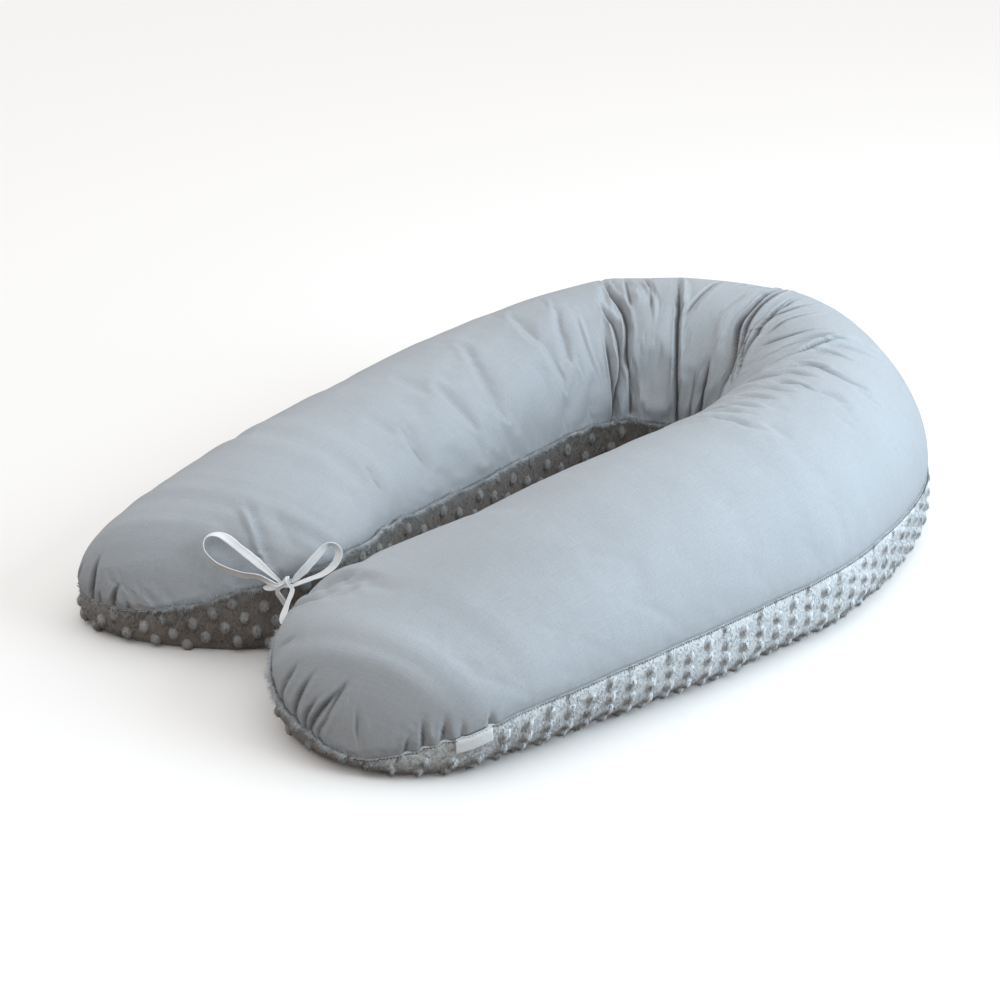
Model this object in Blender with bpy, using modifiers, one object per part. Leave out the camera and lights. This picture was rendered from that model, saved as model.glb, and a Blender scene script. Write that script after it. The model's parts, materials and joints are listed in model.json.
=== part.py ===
"""A long filled body pillow, bent into a horseshoe and held so by a tape bow between its ends.

The open ends point to -Y and the bend to +Y. The near leg is on +X, the far leg on -X, and the
plush underside rests on z = 0. All sizes are in metres, and all angles are in degrees.

A place on the pillow is a section number and a girth angle. Section 0 is the far leg's tip, 7
the middle of the bend and 14 the near leg's tip. Girth 0 is the outer seam and 180 the inner
one: over the crown for the cotton, and under the belly for the plush.
"""

import math

import bmesh
import bpy
import numpy as np

# Each section's chord from seam to seam, the crown's height, the seams' heights, and how far
# the plush swells past the seam.
SECTION_COLUMNS = (
    "outer_x", "outer_y", "inner_x", "inner_y", "crown", "outer_seam", "inner_seam", "swell",
)
SECTIONS = (
    (-0.165, -0.006, -0.165, -0.006, 0.046, 0.046, 0.046, 0.012),  # far tip
    (-0.274, -0.020, -0.046, 0.102, 0.124, 0.040, 0.092, 0.016),
    (-0.310, 0.096, -0.030, 0.170, 0.155, 0.054, 0.106, 0.016),
    (-0.339, 0.242, -0.067, 0.265, 0.163, 0.061, 0.092, 0.012),
    (-0.357, 0.408, -0.092, 0.424, 0.173, 0.063, 0.083, 0.008),
    (-0.365, 0.606, -0.107, 0.570, 0.185, 0.065, 0.083, 0.006),
    (-0.290, 0.848, -0.092, 0.668, 0.205, 0.068, 0.082, 0.007),
    (-0.002, 0.967, -0.009, 0.712, 0.221, 0.073, 0.076, 0.011),  # middle of the bend
    (0.240, 0.832, 0.043, 0.663, 0.217, 0.078, 0.070, 0.018),
    (0.331, 0.599, 0.060, 0.568, 0.215, 0.081, 0.069, 0.022),
    (0.331, 0.401, 0.048, 0.430, 0.205, 0.079, 0.072, 0.018),
    (0.310, 0.235, 0.023, 0.260, 0.179, 0.073, 0.077, 0.009),
    (0.286, 0.108, -0.005, 0.080, 0.143, 0.065, 0.081, 0.003),
    (0.254, 0.036, 0.058, -0.022, 0.112, 0.047, 0.052, 0.000),
    (0.172, -0.024, 0.172, -0.024, 0.020, 0.020, 0.020, 0.000),  # near tip
)
LAST = len(SECTIONS) - 1

# The main folds of the cotton, each from one place to another: troughs are deep, ridges negative.
FOLD_COLUMNS = ("section_a", "girth_a", "section_b", "girth_b", "depth", "half_width")
FOLDS = (
    (5.95, 82, 6.06, 168, 0.014, 0.015),  # where the far leg meets the bend
    (5.84, 104, 5.90, 172, 0.006, 0.011),
    (6.38, 90, 6.62, 174, 0.007, 0.010),  # the pleat inside the bend
    (6.92, 102, 7.40, 158, 0.011, 0.014),  # the deep fold of the bend's crown
    (7.00, 84, 7.14, 128, 0.006, 0.010),
    (7.12, 88, 7.60, 136, 0.007, 0.011),
    (7.84, 60, 8.12, 104, 0.005, 0.012),
    (8.40, 58, 8.38, 92, 0.004, 0.012),
    (1.50, 98, 0.88, 146, -0.003, 0.009),  # the pull towards the tie
)
FOLD_STEPS = 10
MERGE = 1e-6
FOLD_FADE = 0.22  # share of a fold's length over which each end dies away

# Rings along the pillow: how many steps each stretch of sections takes.
STRETCHES = ((0, 1, 5), (1, 5, 12), (5, 9, 32), (9, 13, 12), (13, LAST, 5))
CROWN_STEPS = 16
BELLY_STEPS = 10

CROWN_POWER = 0.95  # under 1 makes the crown's section fuller than an ellipse
BELLY_SIDE_POWER = 0.70
BELLY_DROP_POWER = 0.62
BELLY_PRESS = 1.10  # over 1 presses the belly flat on what it rests on
FULL_CHORD = 0.24  # a chord this long has its full belly and swell
TIP_FULLNESS = 2.5
SWELL_POWER = 6

PANEL_THICKNESS = 0.0015
PIECE_GAP = 0.0004

TAPE_WIDTH = 0.009
TAPE_THICKNESS = 0.001
KNOT = (-0.040, 0.078, 0.092)
BOW_TURN = 44.6  # the way the bow faces, round +Z from -Y
BOW_TILT = 25.4  # and above level

# Routes of the two tapes in millimetres to the right of, above and in front of the knot, the
# tape's width as a share of its full one, and how far it has twisted since it left its seam.
ROUTE_COLUMNS = ("right", "up", "front", "width", "twist")
FAR_TAPE_START = (0.95, 0.28, 0.08)  # the way across each tape where it leaves the seam
FAR_TAPE_ROUTE = (
    (-20.6, -1.5, -19.7, 1.0, 0),
    (-19.0, -3.6, -14.5, 1.0, 10),
    (-13.5, -4.2, -10.5, 0.8, 25),
    (-7.5, -3.0, -7.0, 0.5, 45),
    (-2.5, -0.5, -4.6, 0.4, 60),  # behind the knot
    (0.8, 3.2, -3.6, 0.4, 60),
    (1.6, 5.6, -0.6, 0.4, 60),  # over its top
    (0.6, 4.4, 2.4, 0.4, 60),
    (-2.2, 1.2, 3.0, 0.4, 60),  # and down its front
    (-7.5, -0.6, 3.6, 0.5, 45),
    (-14.0, 1.5, 4.0, 0.7, 25),
    (-26.7, 7.6, 2.0, 0.9, 5),  # the left loop's lower strand
    (-44.8, 9.6, -6.0, 1.0, 0),
    (-61.7, 14.6, -12.0, 1.0, 0),
    (-76.5, 22.5, -17.0, 1.0, -5),
    (-86.0, 33.8, -20.0, 1.0, -10),
    (-87.2, 44.5, -21.5, 1.0, -10),
    (-82.0, 50.8, -22.0, 1.0, 0),
    (-72.0, 51.8, -21.5, 1.0, 20),
    (-61.7, 47.4, -19.5, 1.0, 40),
    (-48.2, 37.1, -14.5, 1.0, 55),  # and its upper strand
    (-31.3, 24.6, -8.0, 1.0, 60),
    (-17.4, 13.2, -3.0, 0.7, 65),
    (-10.0, 7.0, -1.6, 0.5, 65),
    (-5.0, 2.8, -1.8, 0.4, 65),
    (-1.0, -0.6, -2.0, 0.4, 65),
    (2.6, -3.4, -2.0, 0.4, 65),  # tucked in behind the knot
)
NEAR_TAPE_START = (-0.36, -0.57, 0.73)
NEAR_TAPE_ROUTE = (
    (6.2, -38.5, 42.4, 1.0, 0),
    (3.2, -36.5, 39.0, 1.0, -5),
    (2.2, -31.0, 33.0, 1.0, -15),
    (4.5, -20.0, 20.0, 0.9, -30),
    (8.0, -10.0, 11.0, 0.7, -20),
    (8.6, -4.5, 7.0, 0.5, -15),
    (5.0, 0.0, 5.2, 0.4, -10),  # up the knot's front
    (3.0, 4.6, 4.6, 0.4, -10),
    (3.2, 7.8, 1.0, 0.4, -10),  # over its top
    (3.4, 6.4, -3.6, 0.4, -10),
    (4.2, 3.4, -6.0, 0.4, -30),
    (8.5, 3.6, -6.4, 0.5, -45),
    (13.0, 8.0, -5.0, 0.8, -35),
    (20.9, 15.6, -3.0, 1.0, -25),  # the right loop's left strand
    (31.0, 27.1, -3.0, 1.0, -20),
    (40.0, 37.1, -4.0, 1.0, 0),
    (46.8, 42.2, -5.0, 1.0, 30),
    (53.6, 39.4, -5.5, 1.0, 10),
    (56.3, 31.5, -5.5, 1.0, -20),
    (51.3, 20.2, -5.0, 1.0, -20),
    (40.0, 11.0, -4.0, 1.0, 5),  # and its lower strand
    (27.5, 6.0, -3.0, 0.9, 5),
    (16.0, 1.5, -1.8, 0.6, -15),
    (9.5, -1.0, -0.4, 0.4, -40),
    (4.0, -1.6, 0.4, 0.4, -45),  # through the knot
    (-1.5, -1.8, 0.5, 0.4, -45),
    (-5.8, -4.4, 0.2, 0.4, -50),
    (-7.2, -8.5, -1.0, 0.6, -55),  # the free end
    (-3.2, -15.0, -2.0, 0.9, -40),
    (1.0, -21.5, -3.0, 1.0, -35),
)
ROUTE_STEPS = 3  # steps between two rows of a route

LABEL_SECTIONS = (12.50, 12.80)
LABEL_HEIGHT = 0.014
LABEL_THICKNESS = 0.001
LABEL_CLEARANCE = 0.0008
LABEL_STEPS = (8, 4)  # along the seam, and down from it

COTTON = ("cotton_grey", (0.42, 0.45, 0.49), 0.85)
PLUSH = ("plush_grey", (0.46, 0.50, 0.53), 0.95)
TAPE = ("tape_white", (0.86, 0.87, 0.88), 0.80)
LABEL = ("label_white", (0.78, 0.80, 0.81), 0.75)


def start_scene():
    """An empty scene with a collection for the pillow and a parent that centres it."""
    for old in list(bpy.data.objects):
        bpy.data.objects.remove(old, do_unlink=True)
    collection = bpy.data.collections.new("body_pillow")
    bpy.context.scene.collection.children.link(collection)
    centre = bpy.data.objects.new("pillow_centre", None)
    collection.objects.link(centre)
    return collection, centre


def material(name, colour, roughness):
    finish = bpy.data.materials.new(name)
    finish.use_nodes = True
    shader = finish.node_tree.nodes["Principled BSDF"]
    shader.inputs["Base Color"].default_value = (*colour, 1)
    shader.inputs["Roughness"].default_value = roughness
    shader.inputs["Metallic"].default_value = 0
    finish.diffuse_color = (*colour, 1)
    return finish


def smooth_through(rows, before, after, at):
    """A smooth curve through evenly numbered rows, read at the fractional numbers given."""
    rows = np.concatenate([[before], rows, [after]])
    start = np.clip(at.astype(int), 0, len(rows) - 4)
    t = (at - start).reshape(-1, *[1] * (rows.ndim - 1))
    a, b, c, d = rows[start], rows[start + 1], rows[start + 2], rows[start + 3]
    return 0.5 * (2 * b + (c - a) * t + (2 * a - 5 * b + 4 * c - d) * t**2
                  + (3 * b - a - 3 * c + d) * t**3)


def sections_at(numbers):
    """The chord ends, seam heights, crown height and swell at fractional section numbers.

    The seam is one closed line, so before a tip the outer side goes on as the inner one.
    """
    table = np.array(SECTIONS)
    outer, inner, crown = table[:, 0:2], table[:, 2:4], table[:, 4]
    outer_seam, inner_seam, swell = table[:, 5], table[:, 6], table[:, 7]
    rise = crown - (outer_seam + inner_seam) / 2
    found = {
        "outer": smooth_through(outer, inner[1], inner[-2], numbers),
        "inner": smooth_through(inner, outer[1], outer[-2], numbers),
        "outer_seam": smooth_through(outer_seam, inner_seam[1], inner_seam[-2], numbers),
        "inner_seam": smooth_through(inner_seam, outer_seam[1], outer_seam[-2], numbers),
        "rise": smooth_through(rise, -rise[1], -rise[-2], numbers),
        "swell": smooth_through(swell, -swell[1], -swell[-2], numbers),
    }
    chord = np.linalg.norm(found["outer"] - found["inner"], axis=1)
    found["fullness"] = np.clip(chord / FULL_CHORD, 0, 1)
    return found


def across(girth, power):
    side = np.cos(np.radians(girth))
    return np.sign(side) * np.abs(side) ** power


def place(section, side, height, push=0.0):
    """Points at a share across each chord, 1 at the outer seam and -1 at the inner one."""
    middle = (section["outer"] + section["inner"]) / 2
    half = (section["outer"] - section["inner"]) / 2
    length = np.linalg.norm(half, axis=1, keepdims=True)
    outward = half / np.maximum(length, 1e-6)
    plan = middle + half * side[:, None] + outward * np.reshape(push, (-1, 1))
    return np.column_stack([plan, height])


def seam_height(section, side):
    return (section["outer_seam"] * (1 + side) + section["inner_seam"] * (1 - side)) / 2


def smooth_crown(numbers, girths):
    """Points of the cotton's crown before it is folded."""
    section = sections_at(numbers)
    side = across(girths, CROWN_POWER)
    seam = seam_height(section, side)
    top = (section["outer_seam"] + section["inner_seam"]) / 2 + section["rise"]
    lift = np.sin(np.radians(girths)) ** CROWN_POWER
    return place(section, side, seam + (top - seam) * lift)


def belly(numbers, girths):
    """Points of the plush underside, pressed flat where it rests."""
    section = sections_at(numbers)
    side = across(girths, BELLY_SIDE_POWER)
    drop = np.sin(np.radians(girths)) ** BELLY_DROP_POWER
    deep = BELLY_PRESS * (1 - (1 - section["fullness"]) ** TIP_FULLNESS)
    bulging = 1 - np.abs(np.cos(np.radians(girths))) ** SWELL_POWER
    push = section["swell"] * section["fullness"] * bulging * side
    height = np.maximum(0, seam_height(section, side) * (1 - deep * drop))
    return place(section, side, height, push)


def fold_line(fold):
    """The fold's middle line on the smooth crown."""
    share = np.linspace(0, 1, FOLD_STEPS)
    numbers = fold["section_a"] + (fold["section_b"] - fold["section_a"]) * share
    girths = fold["girth_a"] + (fold["girth_b"] - fold["girth_a"]) * share
    return smooth_crown(numbers, girths)


def fold_depth(points):
    """How far each point of the crown is drawn in by the folds."""
    depth = np.zeros(len(points))
    for row in FOLDS:
        fold = dict(zip(FOLD_COLUMNS, row))
        line = fold_line(fold)
        away = np.linalg.norm(points[:, None, :] - line[None, :, :], axis=2)
        nearest = away.argmin(axis=1)
        share = nearest / (FOLD_STEPS - 1)
        fade = np.clip(np.minimum(share, 1 - share) / FOLD_FADE + 0.25, 0, 1)
        depth += fold["depth"] * fade * np.exp(-((away.min(axis=1) / fold["half_width"]) ** 2))
    return depth


def ring_numbers():
    """Section numbers of the rings, both tips among them and closer together round the bend."""
    numbers = [0.0]
    for start, end, steps in STRETCHES:
        numbers += [start + (end - start) * i / steps for i in range(1, steps + 1)]
    return np.array(numbers)


def grid_points(shape, numbers, girths):
    """shape's points for every ring and girth, as rings by girths by 3."""
    n, g = np.meshgrid(numbers, girths, indexing="ij")
    return shape(n.ravel(), g.ravel()).reshape(len(numbers), len(girths), 3)


def add_grid(mesh_data, rows, outward=True):
    """Adds two triangles between each four neighbours of a grid of points."""
    corners = [[mesh_data.verts.new(point) for point in row] for row in rows]
    for low, high in zip(corners, corners[1:]):
        for j in range(len(low) - 1):
            for triangle in ((low[j], low[j + 1], high[j + 1]), (low[j], high[j + 1], high[j])):
                mesh_data.faces.new(triangle if outward else triangle[::-1])
    bmesh.ops.remove_doubles(mesh_data, verts=mesh_data.verts, dist=MERGE)


def mesh_of(mesh_data, name):
    mesh = bpy.data.meshes.new(name)
    mesh_data.to_mesh(mesh)
    mesh_data.free()
    return mesh


def points_and_normals(mesh_data):
    mesh_data.normal_update()
    points = np.array([vertex.co for vertex in mesh_data.verts])
    normals = np.array([vertex.normal for vertex in mesh_data.verts])
    return points, normals


def move_to(mesh_data, points):
    for vertex, point in zip(mesh_data.verts, points):
        vertex.co = point


def crown_surface(numbers):
    """The open surface of the cotton, with its main folds, as Blender's editing mesh."""
    mesh_data = bmesh.new()
    add_grid(mesh_data, grid_points(smooth_crown, numbers, np.linspace(0, 180, CROWN_STEPS + 1)))
    points, normals = points_and_normals(mesh_data)
    depth = fold_depth(points)
    for vertex in mesh_data.verts:
        if vertex.is_boundary:
            depth[vertex.index] = 0
    move_to(mesh_data, points - normals * depth[:, None])
    return mesh_data


def add_piece(name, mesh, look, collection, centre):
    piece = bpy.data.objects.new(name, mesh)
    mesh.materials.append(material(*look))
    mesh.shade_smooth()
    collection.objects.link(piece)
    piece.parent = centre
    return piece


def cotton_panel(crown, collection, centre):
    """The thin cotton sheet over the crown, from seam to seam."""
    panel = add_piece(
        "cotton_top_panel", mesh_of(crown.copy(), "cotton_top_panel"), COTTON, collection, centre,
    )
    thickness = panel.modifiers.new("cloth thickness", "SOLIDIFY")
    thickness.thickness = PANEL_THICKNESS
    thickness.offset = -1
    return panel


def plush_body(crown, numbers, collection, centre):
    """The filled pillow: its crown just under the cotton, and its plush belly below the seam."""
    filling = crown.copy()
    points, normals = points_and_normals(filling)
    points -= normals * (PANEL_THICKNESS + PIECE_GAP)
    points[:, 2] -= PIECE_GAP
    move_to(filling, points)
    below = grid_points(belly, numbers, np.linspace(0, 180, BELLY_STEPS + 1))
    below[:, :, 2] = np.maximum(0, below[:, :, 2] - PIECE_GAP)
    add_grid(filling, below, outward=False)
    rims = [edge for edge in filling.edges if edge.is_boundary]
    ledge = bmesh.ops.bridge_loops(filling, edges=rims)
    bmesh.ops.triangulate(filling, faces=ledge["faces"])
    bmesh.ops.recalc_face_normals(filling, faces=filling.faces)
    return add_piece(
        "plush_body", mesh_of(filling, "plush_body"), PLUSH, collection, centre,
    )


def bow_axes():
    """The bow's right, up and front directions."""
    turn, tilt = math.radians(BOW_TURN), math.radians(BOW_TILT)
    right = np.array([math.cos(turn), math.sin(turn), 0])
    front = np.array([
        math.sin(turn) * math.cos(tilt), -math.cos(turn) * math.cos(tilt), math.sin(tilt),
    ])
    return right, np.cross(front, right), front


def tape(name, route, start_across, collection, centre):
    """A flat tape along its route, with square ends."""
    table = np.array(route)
    at = np.linspace(0, len(table) - 1, (len(table) - 1) * ROUTE_STEPS + 1)
    before, after = 2 * table[0] - table[1], 2 * table[-1] - table[-2]
    rows = smooth_through(table, before, after, at)
    axes = np.array(bow_axes())
    middle = np.array(KNOT) + rows[:, :3] / 1000 @ axes
    ahead = np.gradient(middle, axis=0)
    ahead /= np.linalg.norm(ahead, axis=1, keepdims=True)
    across_tape = np.array(start_across) @ axes
    rings = []
    for place_on_tape, way, row in zip(middle, ahead, rows):
        across_tape = across_tape - way * (across_tape @ way)
        across_tape /= np.linalg.norm(across_tape)
        face = np.cross(way, across_tape)
        twist = math.radians(row[4])
        wide = math.cos(twist) * across_tape + math.sin(twist) * face
        thick = np.cross(way, wide) * TAPE_THICKNESS / 2
        wide = wide * row[3] * TAPE_WIDTH / 2
        rings.append([
            place_on_tape + corner
            for corner in (wide + thick, thick - wide, -wide - thick, wide - thick)
        ])
    return add_piece(name, tube(name, rings), TAPE, collection, centre)


def tube(name, rings):
    """A closed mesh through rings of points, with flat ends."""
    mesh_data = bmesh.new()
    add_grid(mesh_data, [[*ring, ring[0]] for ring in rings])
    bmesh.ops.holes_fill(mesh_data, edges=[edge for edge in mesh_data.edges if edge.is_boundary])
    bmesh.ops.recalc_face_normals(mesh_data, faces=mesh_data.faces)
    return mesh_of(mesh_data, name)


def side_label(collection, centre):
    """The bare folded label that hangs from the near leg's outer seam over the plush."""
    along, down = LABEL_STEPS
    numbers = np.linspace(*LABEL_SECTIONS, along + 1)
    fine = np.linspace(0, 90, 91)
    face = []
    for number in numbers:
        side = belly(np.full(len(fine), number), fine)
        reach = np.concatenate([[0], np.linalg.norm(np.diff(side, axis=0), axis=1).cumsum()])
        drops = np.linspace(0, LABEL_HEIGHT, down + 1)
        face.append([[np.interp(drop, reach, side[:, k]) for k in range(3)] for drop in drops])
    face = np.array(face)
    normals = np.cross(np.gradient(face, axis=0), np.gradient(face, axis=1))
    normals /= np.linalg.norm(normals, axis=2, keepdims=True)
    near = face + normals * LABEL_CLEARANCE
    proud = face + normals * (LABEL_CLEARANCE + LABEL_THICKNESS)
    rings = np.concatenate([proud, near[:, ::-1]], axis=1)
    return add_piece("side_label", tube("side_label", rings), LABEL, collection, centre)


def centre_pillow(body, centre):
    """Moves the pillow so that its box is centred on the origin, resting on z = 0."""
    corners = np.array([vertex.co for vertex in body.data.vertices])
    middle = (corners.min(axis=0) + corners.max(axis=0)) / 2
    centre.location = (-middle[0], -middle[1], 0)


def main():
    collection, centre = start_scene()
    numbers = ring_numbers()
    crown = crown_surface(numbers)
    body = plush_body(crown, numbers, collection, centre)
    cotton_panel(crown, collection, centre)
    tape("far_tie_tape", FAR_TAPE_ROUTE, FAR_TAPE_START, collection, centre)
    tape("near_tie_tape", NEAR_TAPE_ROUTE, NEAR_TAPE_START, collection, centre)
    side_label(collection, centre)
    centre_pillow(body, centre)


main()
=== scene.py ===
"""The looks of a body pillow that lies bent in a horseshoe, tied with a tape bow at its open ends.

A place on the pillow is a section number and a girth angle, as in the CAD part: section 0 is the
far leg's tip, 7 the middle of the bend and 14 the near leg's tip, and girth 0 is the outer seam
and 180 the inner one, over the crown for the cotton and under the belly for the plush.
Lengths are in metres and angles in degrees, unless a name says otherwise.
"""

import json
import math

import bpy
import numpy as np
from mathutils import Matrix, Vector, bvhtree, kdtree

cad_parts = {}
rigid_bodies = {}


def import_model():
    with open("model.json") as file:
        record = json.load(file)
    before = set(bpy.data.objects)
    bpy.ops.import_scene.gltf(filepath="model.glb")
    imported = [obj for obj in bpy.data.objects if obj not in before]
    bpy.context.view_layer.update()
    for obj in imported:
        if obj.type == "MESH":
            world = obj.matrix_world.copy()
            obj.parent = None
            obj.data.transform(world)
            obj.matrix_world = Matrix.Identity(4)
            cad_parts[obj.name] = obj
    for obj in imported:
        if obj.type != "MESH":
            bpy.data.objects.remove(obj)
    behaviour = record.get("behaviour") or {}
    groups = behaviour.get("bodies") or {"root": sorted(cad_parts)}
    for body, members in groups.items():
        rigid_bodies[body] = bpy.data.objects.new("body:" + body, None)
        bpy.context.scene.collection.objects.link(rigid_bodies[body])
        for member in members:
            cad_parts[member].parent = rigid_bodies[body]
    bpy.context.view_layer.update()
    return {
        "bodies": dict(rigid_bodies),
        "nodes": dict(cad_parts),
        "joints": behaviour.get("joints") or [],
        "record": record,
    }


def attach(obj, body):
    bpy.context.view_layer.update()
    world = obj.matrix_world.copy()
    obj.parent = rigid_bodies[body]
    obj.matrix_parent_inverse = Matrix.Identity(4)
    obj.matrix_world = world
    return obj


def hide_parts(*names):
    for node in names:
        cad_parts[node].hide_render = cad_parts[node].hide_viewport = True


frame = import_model()

# ---------------------------------------------------------------- the pillow's shape

# The CAD part centres itself, and this is how far that moves it.
CENTRE = np.array([0.014890626, -0.467011988, 0.0])

SECTIONS = np.array([
    # outer seam x, y, inner seam x, y, crown, outer and inner seam height, plush swell
    (-0.165, -0.006, -0.165, -0.006, 0.046, 0.046, 0.046, 0.012),  # far tip
    (-0.274, -0.020, -0.046, 0.102, 0.124, 0.040, 0.092, 0.016),
    (-0.310, 0.096, -0.030, 0.170, 0.155, 0.054, 0.106, 0.016),
    (-0.339, 0.242, -0.067, 0.265, 0.163, 0.061, 0.092, 0.012),
    (-0.357, 0.408, -0.092, 0.424, 0.173, 0.063, 0.083, 0.008),
    (-0.365, 0.606, -0.107, 0.570, 0.185, 0.065, 0.083, 0.006),
    (-0.290, 0.848, -0.092, 0.668, 0.205, 0.068, 0.082, 0.007),
    (-0.002, 0.967, -0.009, 0.712, 0.221, 0.073, 0.076, 0.011),  # middle of the bend
    (0.240, 0.832, 0.043, 0.663, 0.217, 0.078, 0.070, 0.018),
    (0.331, 0.599, 0.060, 0.568, 0.215, 0.081, 0.069, 0.022),
    (0.331, 0.401, 0.048, 0.430, 0.205, 0.079, 0.072, 0.018),
    (0.310, 0.235, 0.023, 0.260, 0.179, 0.073, 0.077, 0.009),
    (0.286, 0.108, -0.005, 0.080, 0.143, 0.065, 0.081, 0.003),
    (0.254, 0.036, 0.058, -0.022, 0.112, 0.047, 0.052, 0.000),
    (0.172, -0.024, 0.172, -0.024, 0.020, 0.020, 0.020, 0.000),  # near tip
])
LAST = len(SECTIONS) - 1

CROWN_POWER = 0.95  # how the crown is rounded. 1 is an ellipse, and less is fuller
BELLY_SIDE_POWER = 0.70  # and the belly, across and down
BELLY_DROP_POWER = 0.62
BELLY_PRESS = 1.10  # above 1, the belly would go below the floor, so it rests on it flat
FULL_CHORD = 0.24  # the chord from which a section is fully round
TIP_FULLNESS = 2.5
SWELL_POWER = 6
# How much the gathers lift and lower each seam, and their waves a section.
SEAM_WAVES = {"inner_seam": (0.0022, 5.3), "outer_seam": (0.0007, 7.1)}
WAVE_SEED = 61
WAVE_FADE = 0.4  # sections from a tip over which the waves die away
SHORTEST = 1e-6  # a chord or girth under this is the single point of a tip
SMALLEST_AREA = 1e-12
TINY = 1e-9
NOISE_TABLE = 256
MM = 1000  # millimetres in a metre


def eased(share):
    return share * share * (3 - 2 * share)


def rising(value, start, over):
    """0 up to a start, then rising evenly to 1 over the distance given."""
    return np.clip((value - start) / over, 0, 1)


def bump_at(value, middle, width):
    """A bell curve that is 1 at its middle."""
    return np.exp(-(((value - middle) / width) ** 2))


def unit(vectors):
    return vectors / np.maximum(np.linalg.norm(vectors, axis=-1, keepdims=True), TINY)


def rumple(x, y, seed):
    """Smooth noise of about -1 to 1 whose features are one unit wide."""
    table = np.random.default_rng(seed).uniform(-1, 1, (NOISE_TABLE, NOISE_TABLE))
    x0, y0 = np.floor(x).astype(int), np.floor(y).astype(int)
    fx, fy = eased(x - x0), eased(y - y0)

    def corner(i, j):
        return table[(x0 + i) % NOISE_TABLE, (y0 + j) % NOISE_TABLE]

    low = corner(0, 0) * (1 - fx) + corner(1, 0) * fx
    high = corner(0, 1) * (1 - fx) + corner(1, 1) * fx
    return low * (1 - fy) + high * fy


def smooth_through(rows, before, after, at):
    """A smooth curve through evenly numbered rows, read at the fractional numbers given."""
    rows = np.concatenate([[before], rows, [after]])
    start = np.clip(at.astype(int), 0, len(rows) - 4)
    t = (at - start).reshape(-1, *[1] * (rows.ndim - 1))
    a, b, c, d = rows[start], rows[start + 1], rows[start + 2], rows[start + 3]
    return 0.5 * (2 * b + (c - a) * t + (2 * a - 5 * b + 4 * c - d) * t**2
                  + (3 * b - a - 3 * c + d) * t**3)


def sections_at(numbers):
    """The chord ends, seam heights, crown rise and swell at fractional section numbers."""
    outer, inner, crown = SECTIONS[:, 0:2], SECTIONS[:, 2:4], SECTIONS[:, 4]
    outer_seam, inner_seam, swell = SECTIONS[:, 5], SECTIONS[:, 6], SECTIONS[:, 7]
    rise = crown - (outer_seam + inner_seam) / 2
    found = {
        "outer": smooth_through(outer, inner[1], inner[-2], numbers),
        "inner": smooth_through(inner, outer[1], outer[-2], numbers),
        "outer_seam": smooth_through(outer_seam, inner_seam[1], inner_seam[-2], numbers),
        "inner_seam": smooth_through(inner_seam, outer_seam[1], outer_seam[-2], numbers),
        "rise": smooth_through(rise, -rise[1], -rise[-2], numbers),
        "swell": smooth_through(swell, -swell[1], -swell[-2], numbers),
    }
    away = np.clip(np.minimum(numbers, LAST - numbers) / WAVE_FADE, 0, 1)
    for number, (seam, (height, waves)) in enumerate(SEAM_WAVES.items()):
        wave = rumple(numbers * waves, np.full_like(numbers, number), WAVE_SEED + number)
        found[seam] = found[seam] + height * wave * away
    chord = np.linalg.norm(found["outer"] - found["inner"], axis=1)
    found["fullness"] = np.clip(chord / FULL_CHORD, 0, 1)
    return found


def across(girth, power):
    side = np.cos(np.radians(girth))
    return np.sign(side) * np.abs(side) ** power


def place(section, side, height, push=0.0):
    """Points at a share across each chord, 1 at the outer seam and -1 at the inner one."""
    middle = (section["outer"] + section["inner"]) / 2
    half = (section["outer"] - section["inner"]) / 2
    length = np.linalg.norm(half, axis=1, keepdims=True)
    outward = half / np.maximum(length, SHORTEST)
    plan = middle + half * side[:, None] + outward * np.reshape(push, (-1, 1))
    return np.column_stack([plan, height]) + CENTRE


def seam_height(section, side):
    return (section["outer_seam"] * (1 + side) + section["inner_seam"] * (1 - side)) / 2


def crown(numbers, girths):
    """Points of the cotton's crown before it is folded."""
    section = sections_at(numbers)
    side = across(girths, CROWN_POWER)
    seam = seam_height(section, side)
    top = (section["outer_seam"] + section["inner_seam"]) / 2 + section["rise"]
    lift = np.sin(np.radians(girths)) ** CROWN_POWER
    return place(section, side, seam + (top - seam) * lift)


def belly(numbers, girths):
    """Points of the plush underside, pressed flat where it rests."""
    section = sections_at(numbers)
    side = across(girths, BELLY_SIDE_POWER)
    drop = np.sin(np.radians(girths)) ** BELLY_DROP_POWER
    deep = BELLY_PRESS * (1 - (1 - section["fullness"]) ** TIP_FULLNESS)
    bulging = 1 - np.abs(np.cos(np.radians(girths))) ** SWELL_POWER
    push = section["swell"] * section["fullness"] * bulging * side
    height = np.maximum(0, seam_height(section, side) * (1 - deep * drop))
    return place(section, side, height, push)


def grid_of(shape, numbers, girths):
    """shape's points for every ring and girth. girths is one row, or a row for each ring."""
    girths = np.broadcast_to(girths, (len(numbers), np.shape(girths)[-1]))
    repeated = np.repeat(numbers, girths.shape[1])
    return shape(repeated, girths.ravel()).reshape(*girths.shape, 3)


def run_lengths(points):
    """How far along a line each of its points is."""
    steps = np.linalg.norm(np.diff(points, axis=0), axis=-1)
    return np.concatenate([np.zeros((1, *steps.shape[1:])), np.cumsum(steps, axis=0)])


FINE = np.linspace(0, LAST, 2801)
FINE_SECTIONS = sections_at(FINE)
SPINE = run_lengths((FINE_SECTIONS["outer"] + FINE_SECTIONS["inner"]) / 2)


# Where rings close up: the middle section of each place, and how many sections wide it is.
BEND_PLACE = (7.2, 1.7)
TIP_PLACES = ((0, 1.2), (13.6, 1.0))


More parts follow.
